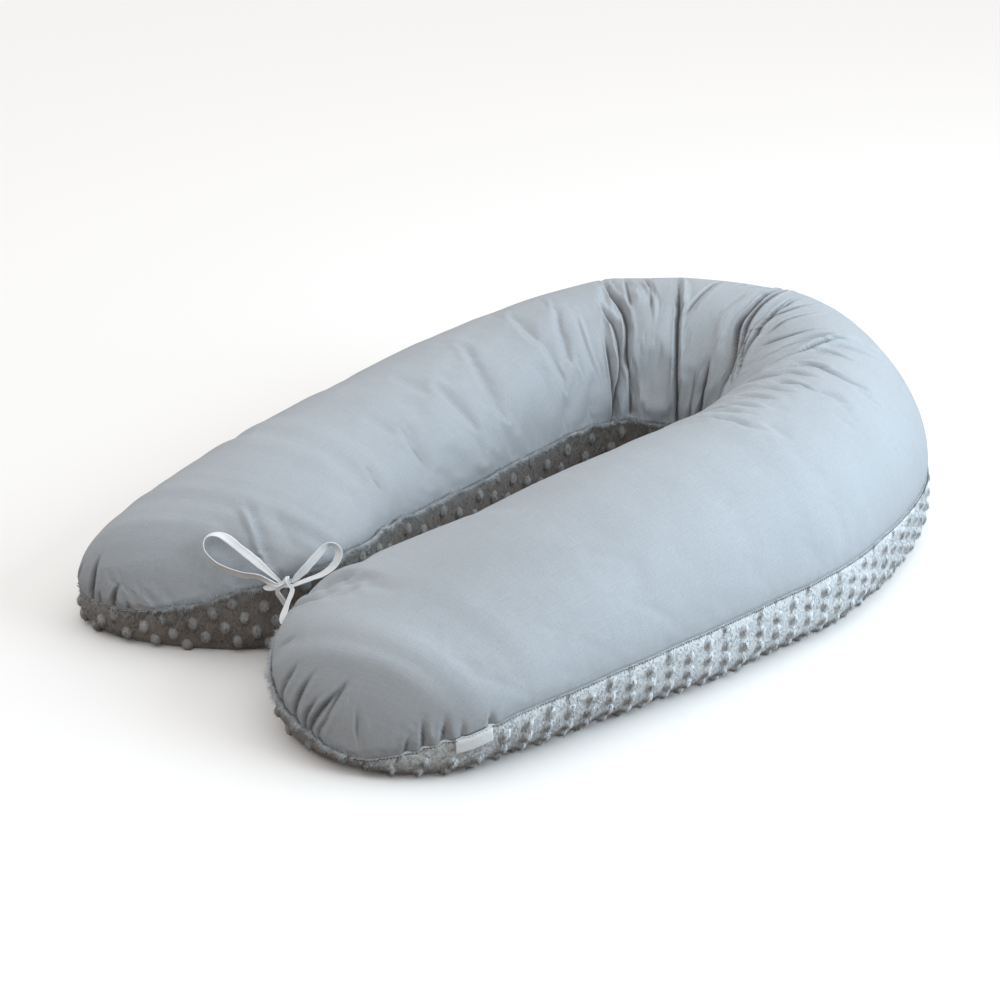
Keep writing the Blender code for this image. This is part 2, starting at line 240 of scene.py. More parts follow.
def even_rings(count, bend_share=0.0, tip_share=0.0):
    """Section numbers of rings that lie evenly along whichever side is the longer one.

    The shares close them up in the bend and at the tips, where the folds are.
    """
    speed = np.max([
        np.linalg.norm(np.gradient(FINE_SECTIONS[side], axis=0), axis=1)
        for side in ("outer", "inner")
    ], axis=0)
    bend = bump_at(FINE, *BEND_PLACE)
    tips = sum(bump_at(FINE, *tip) for tip in TIP_PLACES)
    speed = speed * (1 + bend_share * bend + tip_share * tips)
    reach = np.concatenate([[0], np.cumsum((speed[1:] + speed[:-1]) / 2)])
    return np.interp(np.linspace(0, reach[-1], count), reach, FINE)


def even_girths(shape, numbers, shares):
    """Girth angles at shares of the way round each ring, so that columns keep their spacing."""
    fine = np.linspace(0, 180, 181)
    points = grid_of(shape, numbers, fine)
    rows = []
    for ring in points:
        reach = run_lengths(ring)
        whole = reach[-1]
        rows.append(180 * shares if whole < SHORTEST else np.interp(shares * whole, reach, fine))
    return np.array(rows)


def normals_of(rows, outward=1):
    """Unit normals of a grid of points. A pole takes its neighbours' mean."""
    normal = outward * np.cross(np.gradient(rows, axis=1), np.gradient(rows, axis=0))
    length = np.linalg.norm(normal, axis=2, keepdims=True)
    normal = normal / np.maximum(length, SMALLEST_AREA)
    for pole, beside in ((0, 1), (-1, -2)):
        mean = normal[beside].mean(axis=0)
        normal[pole] = mean / np.linalg.norm(mean)
    return normal


# ---------------------------------------------------------------- meshes

FLOOR_GAP = 0.0003  # small pieces stay this far above the floor


def new_piece(name, points, faces, values=None):
    """A smooth piece from points and faces, with named values at its points."""
    mesh = bpy.data.meshes.new(name)
    mesh.from_pydata(points.tolist(), [], faces)
    for key, value in (values or {}).items():
        layer = mesh.attributes.new(key, "FLOAT", "POINT")
        layer.data.foreach_set("value", np.asarray(value, np.float32).ravel())
    mesh.shade_smooth()
    piece = bpy.data.objects.new(name, mesh)
    bpy.context.scene.collection.objects.link(piece)
    return piece


def discard(piece):
    mesh = piece.data
    bpy.data.objects.remove(piece)
    bpy.data.meshes.remove(mesh)


def vertex_numbers(shape, poles):
    """A number for each place of a grid. With poles, the first and last ring are one point each."""
    rings, columns = shape
    numbers = np.arange(rings * columns).reshape(rings, columns)
    if poles:
        numbers = numbers - (columns - 1)
        numbers[0] = 0
        numbers[-1] = numbers[-2, -1] + 1
    return numbers


def grid_object(name, rows, poles=True, round_it=False, outward=1, uv=None, values=None):
    """A mesh of quads through a grid of points, with a UV map in metres and named values."""
    rings, columns = rows.shape[:2]
    numbers = vertex_numbers((rings, columns), poles)
    points = np.zeros((numbers.max() + 1, 3))
    points[numbers.ravel()] = rows.reshape(-1, 3)
    faces, corners = [], []
    for i in range(rings - 1):
        for j in range(columns if round_it else columns - 1):
            k = (j + 1) % columns
            around = [(i, j), (i, k), (i + 1, k), (i + 1, j)][::outward]
            face = [numbers[c] for c in around]
            if poles and i in (0, rings - 2):
                around = [c for c, n in zip(around, face) if n != face[around.index(c) - 1]]
                face = [numbers[c] for c in around]
            faces.append(face)
            corners += around
    spread = {}
    for key, value in (values or {}).items():
        spread[key] = np.zeros(len(points))
        spread[key][numbers.ravel()] = value.ravel()
    piece = new_piece(name, points, faces, spread)
    if uv is not None:
        layer = piece.data.uv_layers.new(name="cloth")
        flat = np.array([uv[c] for c in corners], np.float32)
        layer.data.foreach_set("uv", flat.ravel())
    return piece


# ---------------------------------------------------------------- the cotton's folds

COTTON_RINGS = 471  # of the trial panel. The finished one has twice as many
COTTON_COLUMNS = 51
BEND_SHARE = 2.4  # how much closer together the rings are in the bend
TIP_SHARE = 1.6  # and at the two tips
SEAM_DRAW = 0.0024  # how far the seam pulls the cloth in
SEAM_REACH = 0.006

# Each fold is a line of (section, girth) places, how deep it is in millimetres (a ridge is
# negative), how wide on its two sides, and whether its start and its end die away.
FOLDS = (
    # the deep folds where the far leg meets the bend
    (((5.91, 62), (5.95, 93), (6.01, 108), (6.04, 122), (6.04, 144), (6.08, 158), (6.10, 180)),
     5, 10, 13, True, False),
    (((5.91, 60), (5.95, 93), (6.01, 108), (6.04, 122), (6.04, 144), (6.08, 158), (6.10, 180)),
     8, 2.4, 5, True, False),
    (((5.82, 98), (5.87, 112), (5.93, 125), (5.96, 144), (5.95, 154), (5.90, 164), (5.83, 180)),
     10, 2.6, 5.5, True, False),
    (((5.81, 124), (5.82, 144), (5.83, 160), (5.82, 180)), 8, 1.8, 5, True, False),
    (((5.64, 104), (5.61, 120), (5.62, 140), (5.70, 160)), -2.2, 2.2, 3, True, True),
    (((6.07, 74), (6.09, 98), (6.11, 114)), 4.5, 2.5, 5, True, True),
    (((6.14, 80), (6.22, 96), (6.28, 112), (6.30, 128)), -2.5, 2.5, 3, True, True),
    (((6.18, 74), (6.24, 100), (6.26, 118)), 3, 2, 4, True, True),
    (((6.05, 148), (6.10, 160), (6.15, 172)), 4, 2, 4, True, True),
    # the pleat inside the bend
    (((6.34, 70), (6.42, 100), (6.46, 119), (6.50, 136), (6.55, 150), (6.60, 164), (6.64, 180)),
     3, 9, 5, True, False),
    (((6.34, 70), (6.42, 100), (6.46, 119), (6.50, 136), (6.55, 150), (6.60, 164), (6.64, 180)),
     7, 2.2, 3.5, True, False),
    (((6.38, 76), (6.46, 100), (6.50, 118)), -3, 2.5, 4, True, True),
    (((6.60, 74), (6.58, 96), (6.54, 112), (6.53, 124)), 3.5, 2.5, 5, True, True),
    (((6.72, 68), (6.72, 92)), 3, 2.5, 4, True, True),
    (((6.80, 70), (6.79, 94)), 3, 2.5, 4, True, True),
    (((6.90, 140), (6.93, 158), (6.97, 180)), 7, 2.2, 4.5, True, False),
    (((6.76, 146), (6.80, 162), (6.82, 180)), 3, 2.5, 5, True, False),
    # the deep folds of the bend's crown
    (((6.90, 76), (6.97, 100), (6.99, 119), (7.09, 129), (7.22, 138), (7.33, 150), (7.46, 180)),
     7, 10, 13, True, False),
    (((6.90, 70), (6.97, 100), (6.99, 119), (7.09, 129), (7.22, 138), (7.33, 150), (7.46, 180)),
     9, 2.4, 5, False, False),
    (((6.92, 66), (7.03, 95), (7.05, 106), (7.11, 119), (7.23, 129), (7.36, 142), (7.44, 156)),
     7, 2.2, 4, False, True),
    (((7.13, 80), (7.22, 101), (7.29, 114), (7.37, 122), (7.43, 131), (7.50, 143), (7.58, 156)),
     8, 2.2, 5, True, True),
    (((7.17, 80), (7.26, 102), (7.32, 114), (7.38, 123)), 4.5, 2, 3.5, True, True),
    (((7.24, 118), (7.34, 130), (7.58, 141), (7.88, 146)), 5, 2, 4, True, True),
    (((7.40, 114), (7.43, 125), (7.62, 136), (7.96, 140)), 4, 2, 4, True, True),
    (((7.28, 78), (7.30, 100), (7.32, 111), (7.38, 122)), 4, 2.2, 4, True, True),
    (((7.42, 82), (7.44, 104), (7.50, 118)), 3, 2.5, 4, True, True),
    (((7.66, 84), (7.67, 104), (7.64, 115), (7.58, 124)), 4, 2.2, 4, True, True),
    (((7.78, 98), (7.84, 112), (7.90, 124)), 3, 2.5, 4, True, True),
    # the fan over the near leg's shoulder
    (((7.80, 80), (7.84, 87), (7.92, 94), (8.04, 101), (8.12, 110)), 9, 2.4, 5, True, True),
    (((7.86, 92), (7.82, 84), (7.81, 77), (7.76, 62)), 7, 2.2, 4.5, True, True),
    (((7.91, 92), (7.93, 82), (7.95, 76), (7.94, 66), (7.87, 50)), 7, 2.4, 5, True, True),
    (((7.98, 99), (8.06, 90), (8.11, 82), (8.13, 73)), 7, 2.2, 4, True, True),
    (((8.24, 132), (8.25, 118), (8.14, 110), (8.07, 103), (8.02, 95)), 6, 3, 6, True, True),
    (((8.27, 102), (8.34, 90), (8.40, 78), (8.41, 60)), 4, 2.5, 4.5, True, True),
    (((8.42, 108), (8.48, 96), (8.52, 83)), 2.6, 3, 5, True, True),
    (((8.63, 104), (8.66, 92), (8.69, 77)), 4, 2.5, 4.5, True, True),
    (((8.78, 110), (8.80, 97), (8.82, 83)), 2.4, 3, 5, True, True),
    (((8.93, 114), (8.96, 100), (8.98, 85)), 2.8, 3, 5, True, True),
    (((9.10, 116), (9.13, 102), (9.12, 87)), 2.2, 3, 5, True, True),
    (((9.47, 112), (9.42, 100), (9.38, 90), (9.35, 77)), 3, 3, 5, True, True),
    (((9.30, 112), (9.26, 98), (9.24, 85)), 2.2, 3, 5, True, True),
    # the far leg's inner face
    (((5.20, 80), (5.16, 108), (5.20, 125), (5.19, 156)), 3.2, 7, 10, True, True),
    (((5.50, 92), (5.38, 123), (5.36, 142)), 2.6, 6, 9, True, True),
    (((4.69, 86), (4.50, 118), (4.37, 150)), 2.8, 7, 10, True, True),
    (((4.08, 100), (4.09, 130), (4.12, 150)), 2, 6, 9, True, True),
    (((3.55, 112), (3.50, 138), (3.48, 160)), 2, 5, 8, True, True),
    (((3.05, 118), (2.96, 142), (2.92, 166)), 1.8, 5, 8, True, True),
    # the pull towards the tie
    (((1.62, 96), (1.47, 105), (1.24, 116), (1.03, 128), (0.88, 146), (0.84, 166)),
     -3.4, 2.4, 2.6, True, False),
    (((1.70, 98), (1.52, 108), (1.30, 117)), 2.6, 3, 5, True, True),
    (((1.78, 108), (1.44, 128), (1.10, 152)), 2.0, 9, 12, True, True),
    (((1.36, 92), (1.06, 112), (0.86, 136)), 1.6, 10, 12, True, True),
    # pleats at the far leg's end
    (((0.92, 28), (0.97, 15), (1.02, 0)), 4, 2, 4, True, False),
    (((0.87, 46), (0.76, 33), (0.67, 20), (0.63, 0)), 6.5, 1.9, 4.5, True, False),
    (((0.45, 54), (0.41, 38), (0.38, 20), (0.36, 0)), 9, 2, 5, True, False),
    (((0.54, 24), (0.52, 12), (0.51, 0)), 3.5, 1.8, 3.5, True, False),
    (((0.24, 38), (0.21, 16), (0.20, 0)), 5, 2, 4, True, False),
    (((1.40, 14), (1.37, 0)), 2.5, 2.5, 4, True, False),
    # tucks at the near leg's end
    (((13.12, 110), (13.27, 131), (13.35, 150), (13.38, 168), (13.39, 180)), 5, 2, 5, True, False),
    (((13.22, 90), (13.42, 109), (13.53, 134), (13.57, 160), (13.57, 180)), 6, 2, 5, True, False),
    (((13.06, 128), (13.16, 148), (13.20, 180)), 3.5, 2, 4, True, False),
    (((13.38, 116), (13.47, 142), (13.52, 180)), 4, 1.8, 4, True, False),
    (((13.16, 92), (13.35, 99), (13.54, 117), (13.67, 150)), 3.5, 2, 5, True, True),
    (((13.46, 106), (13.61, 129), (13.67, 180)), 3, 2, 4, True, False),
    (((12.76, 130), (12.79, 146), (12.76, 164)), 3, 2, 4, True, True),
    (((13.40, 86), (13.57, 82), (13.71, 76), (13.88, 54)), 4, 2.2, 6, True, True),
    (((13.57, 92), (13.72, 102), (13.84, 134)), 3, 2, 5, True, True),
    (((13.35, 28), (13.44, 13), (13.47, 0)), 5, 2.4, 5, True, False),
    (((13.18, 34), (13.27, 19), (13.31, 0)), 7, 2.2, 5, True, False),
    (((12.99, 26), (13.08, 12), (13.12, 0)), 8, 2.4, 6, True, False),
    (((12.84, 18), (12.88, 8), (12.90, 0)), 3, 2, 4, True, False),
    (((12.44, 14), (12.50, 6), (12.51, 0)), 6, 2, 5, True, False),
    # the near leg's pull towards the knot
    (((12.26, 166), (12.29, 148), (12.28, 136), (12.24, 126)), 7, 3, 5, False, True),
    (((12.22, 160), (12.16, 140), (12.09, 124), (12.00, 106)), -2.8, 3.5, 4, False, True),
    (((12.12, 154), (12.02, 136), (11.90, 118)), 2.6, 3, 5, True, True),
    (((12.20, 152), (12.14, 140), (12.09, 128), (12.04, 114)), 3.5, 2, 4, True, True),
    (((12.34, 136), (12.26, 126), (12.16, 118), (12.04, 106)), 2.6, 2.5, 4, True, True),
)
FOLD_POINTS = 36
FOLD_REACH = 0.08  # a fold moves nothing farther away than this
FOLD_FADE = 0.30  # share of a fold's length over which an end dies away
SHORTEST_FADE = 0.034  # but not over less than this length
LONGEST_FADE = 0.95
FADED_WIDTH = 0.55  # an end's width where it has died away, as a share of the fold's
WIDTH_GAIN = 0.45  # and how much it gains up to its full width
TROUGH_POWER = 1.15
CREASE_HALF = 0.0019  # half the width of a crease's line of painted shade, at the bottom of a fold
CREASE_FULL = 0.0045  # the depth of a fold whose crease line gets the darkest painted shade
CREASED_UNDER = 6  # a fold whose left side is wider than this, in millimetres, gets no painted crease line
# The cloth's rise beside a fold: its share of the depth, how many widths away it is, its spread.
SHOULDER = 0.28
SHOULDER_AT = 1.9
SHOULDER_SPREAD = 0.7
GIRTH_STEP = 0.5  # steps that find the directions on the crown
SECTION_STEP = 0.01

SLACK_MOST = 0.085  # how much longer the cotton is than the filling where it is gathered most
SLACK_LEAST = 0.03  # as a share of that
SLACK_BEND = (6.9, 1.5)  # the bend has the most: its middle section, and its reach
SLACK_BEND_SIDE = (45, 60)  # where it grows from this girth on, over so much of it
# Other places with spare cloth: the share there, and the middle and reach of the place in
# sections and in girth.
SLACK_PLACES = (
    (0.45, (8.6, 1.0), (100, 34)),  # the near leg's shoulder
    (0.42, (4.6, 1.6), (138, 34)),  # the far leg's inner face
    (0.15, (1.4, 0.7), (130, 40)),  # the pull towards the tie
    (0.30, (12.1, 0.6), (140, 30)),  # the knot
)
SLACK_TIP = 0.10  # and the share at the two tips
SLACK_TIPS = ((0.3, 0.6), (13.7, 0.6))


def fold_line(places):
    """Evenly spaced points of a fold's middle line on the crown, with its directions."""
    places = np.array(places, float)
    at = np.linspace(0, len(places) - 1, FOLD_POINTS)
    smooth = smooth_through(places, 2 * places[0] - places[1], 2 * places[-1] - places[-2], at)
    numbers, girths = smooth[:, 0], np.clip(smooth[:, 1], 0, 180)
    line = crown(numbers, girths)
    inward = crown(numbers, np.clip(girths + GIRTH_STEP, 0, 180))
    inward = inward - crown(numbers, np.clip(girths - GIRTH_STEP, 0, 180))
    onward = crown(numbers + SECTION_STEP, girths) - crown(numbers - SECTION_STEP, girths)
    along = unit(np.gradient(line, axis=0))
    return line, along, unit(np.cross(np.cross(inward, onward), along))


def fold_depth(points):
    """How far the folds draw each point in, and how much it lies in a crease, from 0 to 1. The
    crease share is a mask for painted shade.
    """
    flat = points.reshape(-1, 3)
    depth, crease = np.zeros(len(flat)), np.zeros(len(flat))
    for places, deep, left, right, start_fades, end_fades in FOLDS:
        line, along, beside = fold_line(places)
        low, high = line.min(axis=0) - FOLD_REACH, line.max(axis=0) + FOLD_REACH
        near = np.flatnonzero(((flat > low) & (flat < high)).all(axis=1))
        away = flat[near, None, :] - line[None, :, :]
        nearest = np.linalg.norm(away, axis=2).argmin(axis=1)
        offset = away[np.arange(len(near)), nearest]
        lengthways = (offset * along[nearest]).sum(axis=1)
        inside = (nearest > 0) & (nearest < FOLD_POINTS - 1)
        offset[inside] -= (along[nearest] * lengthways[:, None])[inside]
        side = np.sign((offset * beside[nearest]).sum(axis=1))
        share = nearest / (FOLD_POINTS - 1)
        fading = min(LONGEST_FADE, max(FOLD_FADE, SHORTEST_FADE / run_lengths(line)[-1]))
        fade = np.ones(len(near))
        if start_fades:
            fade *= np.clip(share / fading, 0, 1)
        if end_fades:
            fade *= np.clip((1 - share) / fading, 0, 1)
        off = np.linalg.norm(offset, axis=1)
        reach = off / (np.where(side > 0, right, left) / MM)
        reach = reach / (FADED_WIDTH + WIDTH_GAIN * fade)
        fade = eased(fade)
        trough = np.exp(-(reach**TROUGH_POWER))
        shoulder = SHOULDER * np.exp(-((reach - SHOULDER_AT) ** 2) / SHOULDER_SPREAD)
        depth[near] += deep / MM * fade * (trough - shoulder)
        # A line of painted shade along the bottom of each deep, narrow fold.
        crease_shade = np.clip(deep / MM / CREASE_FULL, 0, 1) * fade * bump_at(off, 0, CREASE_HALF)
        crease[near] = np.maximum(crease[near], crease_shade * (left < CREASED_UNDER))
    return depth.reshape(points.shape[:2]), crease.reshape(points.shape[:2])


def slack_share(numbers, girths):
    """From 0 to 1, how much spare cloth the cotton has at each place."""
    numbers = np.broadcast_to(numbers[:, None], girths.shape)
    share = SLACK_LEAST + bump_at(numbers, *SLACK_BEND) * rising(girths, *SLACK_BEND_SIDE)
    for most, section, girth in SLACK_PLACES:
        share = share + most * bump_at(numbers, *section) * bump_at(girths, *girth)
    return np.clip(share + SLACK_TIP * sum(bump_at(numbers, *tip) for tip in SLACK_TIPS), 0, 1)


def smoothed(rows, times):
    """The grid after repeated averaging with its neighbours, its rim held."""
    rows = rows.copy()
    for _ in range(times):
        padded = np.pad(rows, ((1, 1), (1, 1), (0, 0)), mode="edge")
        rows = (2 * rows + padded[2:, 1:-1] + padded[:-2, 1:-1]
                + padded[1:-1, 2:] + padded[1:-1, :-2]) / 6
    return rows


def doubled(rows):
    """The grid with a smooth midpoint between each two neighbours, both ways."""
    for axis in (0, 1):
        rows = np.moveaxis(rows, axis, 0)
        wide = np.concatenate([[2 * rows[0] - rows[1]], rows, [2 * rows[-1] - rows[-2]]])
        middle = (9 * (wide[1:-2] + wide[2:-1]) - wide[:-3] - wide[3:]) / 16
        made = np.empty((2 * len(rows) - 1, *rows.shape[1:]))
        made[0::2], made[1::2] = rows, middle
        rows = np.moveaxis(made, 0, axis)
    return rows


SETTLE_FRAMES = 26
PUFF = 1.6  # the filling's pressure on the trial panel
MOST_WRINKLE = 0.009
SLOW_PART = 60  # rounds of averaging that leave the slow part of the panel's move


def settled(rows, slack):
    """How the slack cotton wrinkles over the filling, as a move for each point of the grid.

    The panel is sewn down round its rim and is cut a little too long, so that it buckles. The
    slow part of its move is left out, which keeps the pillow's size.
    """
    trial = grid_object("cotton_trial", rows)
    numbers = vertex_numbers(rows.shape[:2], True)
    sewn = trial.vertex_groups.new(name="sewn")
    rim = np.unique(np.concatenate([
        numbers[:, 0], numbers[:, -1], numbers[:2].ravel(), numbers[-2:].ravel(),
    ]))
    sewn.add(rim.tolist(), 1.0, "REPLACE")
    taut = trial.vertex_groups.new(name="taut")
    for number, share in zip(numbers.ravel().tolist(), (1 - slack).ravel().tolist()):
        taut.add([number], share, "REPLACE")
    cloth = trial.modifiers.new("settle", "CLOTH")
    for setting, value in {
        "quality": 7, "mass": 0.25, "air_damping": 4,
        "tension_stiffness": 30, "compression_stiffness": 30, "shear_stiffness": 12,
        "bending_stiffness": 0.35,
        "tension_damping": 12, "compression_damping": 12, "shear_damping": 8,
        "vertex_group_mass": "sewn", "vertex_group_shrink": "taut",
        "shrink_min": -SLACK_MOST, "shrink_max": 0,
        "use_pressure": True, "uniform_pressure_force": PUFF,
    }.items():
        setattr(cloth.settings, setting, value)
    cloth.settings.effector_weights.gravity = 0
    cloth.collision_settings.use_collision = False
    cloth.point_cache.frame_start = 1
    cloth.point_cache.frame_end = SETTLE_FRAMES
    scene = bpy.context.scene
    for number in range(1, SETTLE_FRAMES + 1):
        scene.frame_set(number)
    evaluated = trial.evaluated_get(bpy.context.evaluated_depsgraph_get())
    moved = np.empty(len(evaluated.data.vertices) * 3)
    evaluated.data.vertices.foreach_get("co", moved)
    moved = moved.reshape(-1, 3)[numbers] - rows
    scene.frame_set(1)
    discard(trial)
    wrinkles = moved - smoothed(moved, SLOW_PART)
    size = np.linalg.norm(wrinkles, axis=2, keepdims=True)
    return wrinkles * (MOST_WRINKLE * np.tanh(size / MOST_WRINKLE) / np.maximum(size, TINY))


def seam_closeness(rows):
    """1 at either seam, dying away over SEAM_REACH, and the distance to the nearer one."""
    reach = run_lengths(np.moveaxis(rows, 1, 0)).T
    nearer = np.minimum(reach, reach[:, -1:] - reach)
    return np.exp(-((nearer / SEAM_REACH) ** 2)), nearer


# How deep a fold may be at the seam, and how much deeper with the distance from it.
DEEPEST_AT_SEAM = 0.0055
DEEPER_INWARDS = 0.45
HOLD_REACH = 0.008
HOLD_LEAST = 0.6
TRIAL_DEPTH = 0.6  # how deep the folds of the trial panel are, as a share
# The share of the trial's wrinkles that is kept, where there is no slack and with each share of it.
WRINKLE_LEAST = 0.35
WRINKLE_GAIN = 3
GATHER = 0.0003  # depth of the gathers along the seam
GATHER_AT_TIPS = 0.0011  # and what is added at the two tips, over so many sections
TIP_REACH = 1.3
GATHER_PITCH = 0.011
GATHER_REACH = 0.016
SOFT_DEPTH = 0.0005
SOFT_PITCH = 0.06
INWARD_PITCH = 0.05
HEM_IN = 0.003
HEM_DOWN = 0.0015
# Deep folds get painted shade in the cotton's colour, darkest at this depth.
FOLD_SHADE_DEPTH = 0.012  # the depth of a fold that is tinted most


def held_depth(rows):
    """The folds' depth, shallower towards the seam, which holds the cloth out."""
    depth, crease = fold_depth(rows)
    most = DEEPEST_AT_SEAM + DEEPER_INWARDS * seam_closeness(rows)[1]
    return np.where(depth > 0, most * np.tanh(depth / most), depth), crease


def rim_hold(rows):
    """0 where the panel is sewn and 1 away from there, so that folds don't tear the seam."""
    hold = np.clip(seam_closeness(rows)[1] / HOLD_REACH, HOLD_LEAST, 1)
    hold[[0, -1]] = 0
    hold[[1, -2]] *= 0.5
    return hold[:, :, None]


def cotton_panel():
    """The cotton over the pillow's crown, folded, wrinkled and drawn in at its seam."""
    rings = even_rings(COTTON_RINGS, BEND_SHARE, TIP_SHARE)
    girths = even_girths(crown, rings, np.linspace(0, 1, COTTON_COLUMNS))
    rows = grid_of(crown, rings, girths)
    inward = (held_depth(rows)[0] * TRIAL_DEPTH)[:, :, None]
    rows = rows - normals_of(rows) * inward * rim_hold(rows)
    slack = slack_share(rings, girths)
    kept = np.clip(WRINKLE_LEAST + WRINKLE_GAIN * slack, 0, 1)
    wrinkles = settled(rows, slack) * kept[:, :, None]
    fine_rings = doubled(rings[:, None, None] * np.ones((1, 2, 1)))[:, 0, 0]
    shares = np.linspace(0, 1, 2 * COTTON_COLUMNS - 1)
    fine_girths = even_girths(crown, fine_rings, shares)
    rows = grid_of(crown, fine_rings, fine_girths)
    depth, crease = held_depth(rows)
    closeness, nearer = seam_closeness(rows)
    lengthways = np.interp(fine_rings, FINE, SPINE)[:, None] * np.ones_like(fine_girths)
    tips = bump_at(fine_rings, 0, TIP_REACH) + bump_at(fine_rings, LAST, TIP_REACH)
    tips = np.clip(tips, 0, 1)[:, None]
    gathers = (GATHER + GATHER_AT_TIPS * tips) * np.exp(-nearer / GATHER_REACH)
    gathers = gathers * rumple(lengthways / GATHER_PITCH, nearer / INWARD_PITCH, 3)
    soft = SOFT_DEPTH * rumple(lengthways / SOFT_PITCH, nearer / INWARD_PITCH, 5)
    inward = depth + SEAM_DRAW * closeness + gathers * (1 - closeness) + soft
    rows = rows - normals_of(rows) * (inward[:, :, None] * rim_hold(rows))
    rows = rows + doubled(wrinkles)
    hem = rows[:, [0, -1]] - normals_of(rows)[:, [0, -1]] * HEM_IN
    hem[:, :, 2] -= HEM_DOWN
    rows = np.concatenate([hem[:, :1], rows, hem[:, 1:]], axis=1)
    girth_run = run_lengths(np.moveaxis(rows, 1, 0)).T
    spine_run = np.interp(fine_rings, FINE, SPINE)[:, None] * np.ones_like(girth_run)
    uv = np.stack([spine_run, girth_run - girth_run[:, -1:] / 2], axis=2)
    depth, crease = (np.pad(value, ((0, 0), (1, 1)), mode="edge") for value in (depth, crease))
    # fold_depth and crease carry the painted shade of the folds and creases into the cotton's
    # colour.
    piece = grid_object("cotton_cover", rows, uv=uv, values={
        "fold_depth": np.clip(depth / FOLD_SHADE_DEPTH, 0, 1), "crease": crease,
    })
    return piece, rows


# ---------------------------------------------------------------- the plush underside

PLUSH_RINGS = 641
# A raised dot's half length, half width and height. A lobe is a dot on the outer side, whose pile
# is brushed over;
# one flank of it is painted dark, as painted shade and as the pile's dark roots, and its ridge gets
# a painted highlight.
LOBE = np.array([0.0100, 0.0080, 0.0058])
FLANK_WAY = np.array([0.08, 1.00])  # from a lobe's ridge of painted highlight to its flank of painted shade: along it and across it
FLANK_LINE = np.array([1.00, -0.08])  # and the way the flank runs
DOT = np.array([0.0080, 0.0064, 0.0056])
DOT_POWER = 0.85  # below 1, a dot's top is flatter than a ball's
LOBE_POWER = 2.6  # a lobe is a low bell, whose foot runs out into the ground
LOBE_TURN = 28  # how far a lobe leans over from upright, in degrees
DOT_DROOP = 0.30  # how far a dot's top hangs down, as a share of its height
LOBE_DROOP = 0.12
# Where each lattice of dots starts, and the two steps to a dot's neighbours, as distances along
# the pillow and onwards round its girth.
LATTICES = (
    {"start": (10.86, 3.6), "steps": ((0.0255, 0.0068), (0.0002, 0.0178))},  # outer side
    {"start": (3.71, 172.3), "steps": ((0.0300, -0.0108), (0.0063, 0.0235))},  # far leg's inside
    {"start": (0.304, 159.4), "steps": ((0.0194, 0.0162), (0.0153, -0.0144))},  # far end
)
NEAREST_DOTS = 0.0150
WIDEST_GAP = 0.0225  # a gap as wide as this gets a dot of its own, if it is this far from a seam
GAP_MARGIN = 0.009
SEAM_MARGIN = 0.0042
START_MARGIN = 0.002
FARTHEST_OFF = 0.012  # a step that ends farther off the belly than this grows no dot
DOT_SPREAD = (0.93, 1.07)  # how much the dots' sizes differ
LOWEST_DOT = 0.35  # a dot's height at the seam, as a share, and over what distance it grows
DOT_RISE = 0.016
NEAR_TIP_DOTS = (12.3, 0.25)  # from this section on they are smaller, by this share
LOBES_FROM = (0.9, 0.6)  # the section where lobes begin, and over how many they do
LOBES_DOWN_TO = (80, 30)  # and the girth where they end


def onto_plane(vector, normal):
    vector = vector - normal * vector.dot(normal)
    return vector.normalized()


def surface_of(rows):
    """A tree that finds the nearest place of a grid. Its faces are numbered ring by ring."""
    columns = rows.shape[1]
    faces = [
        (i * columns + j, i * columns + j + 1, (i + 1) * columns + j + 1, (i + 1) * columns + j)
        for i in range(len(rows) - 1) for j in range(columns - 1)
    ]
    return bvhtree.BVHTree.FromPolygons([Vector(p) for p in rows.reshape(-1, 3)], faces)


def tree_of(points):
    tree = kdtree.KDTree(len(points))
    for number, point in enumerate(points):
        tree.insert(point, number)
    tree.balance()
    return tree


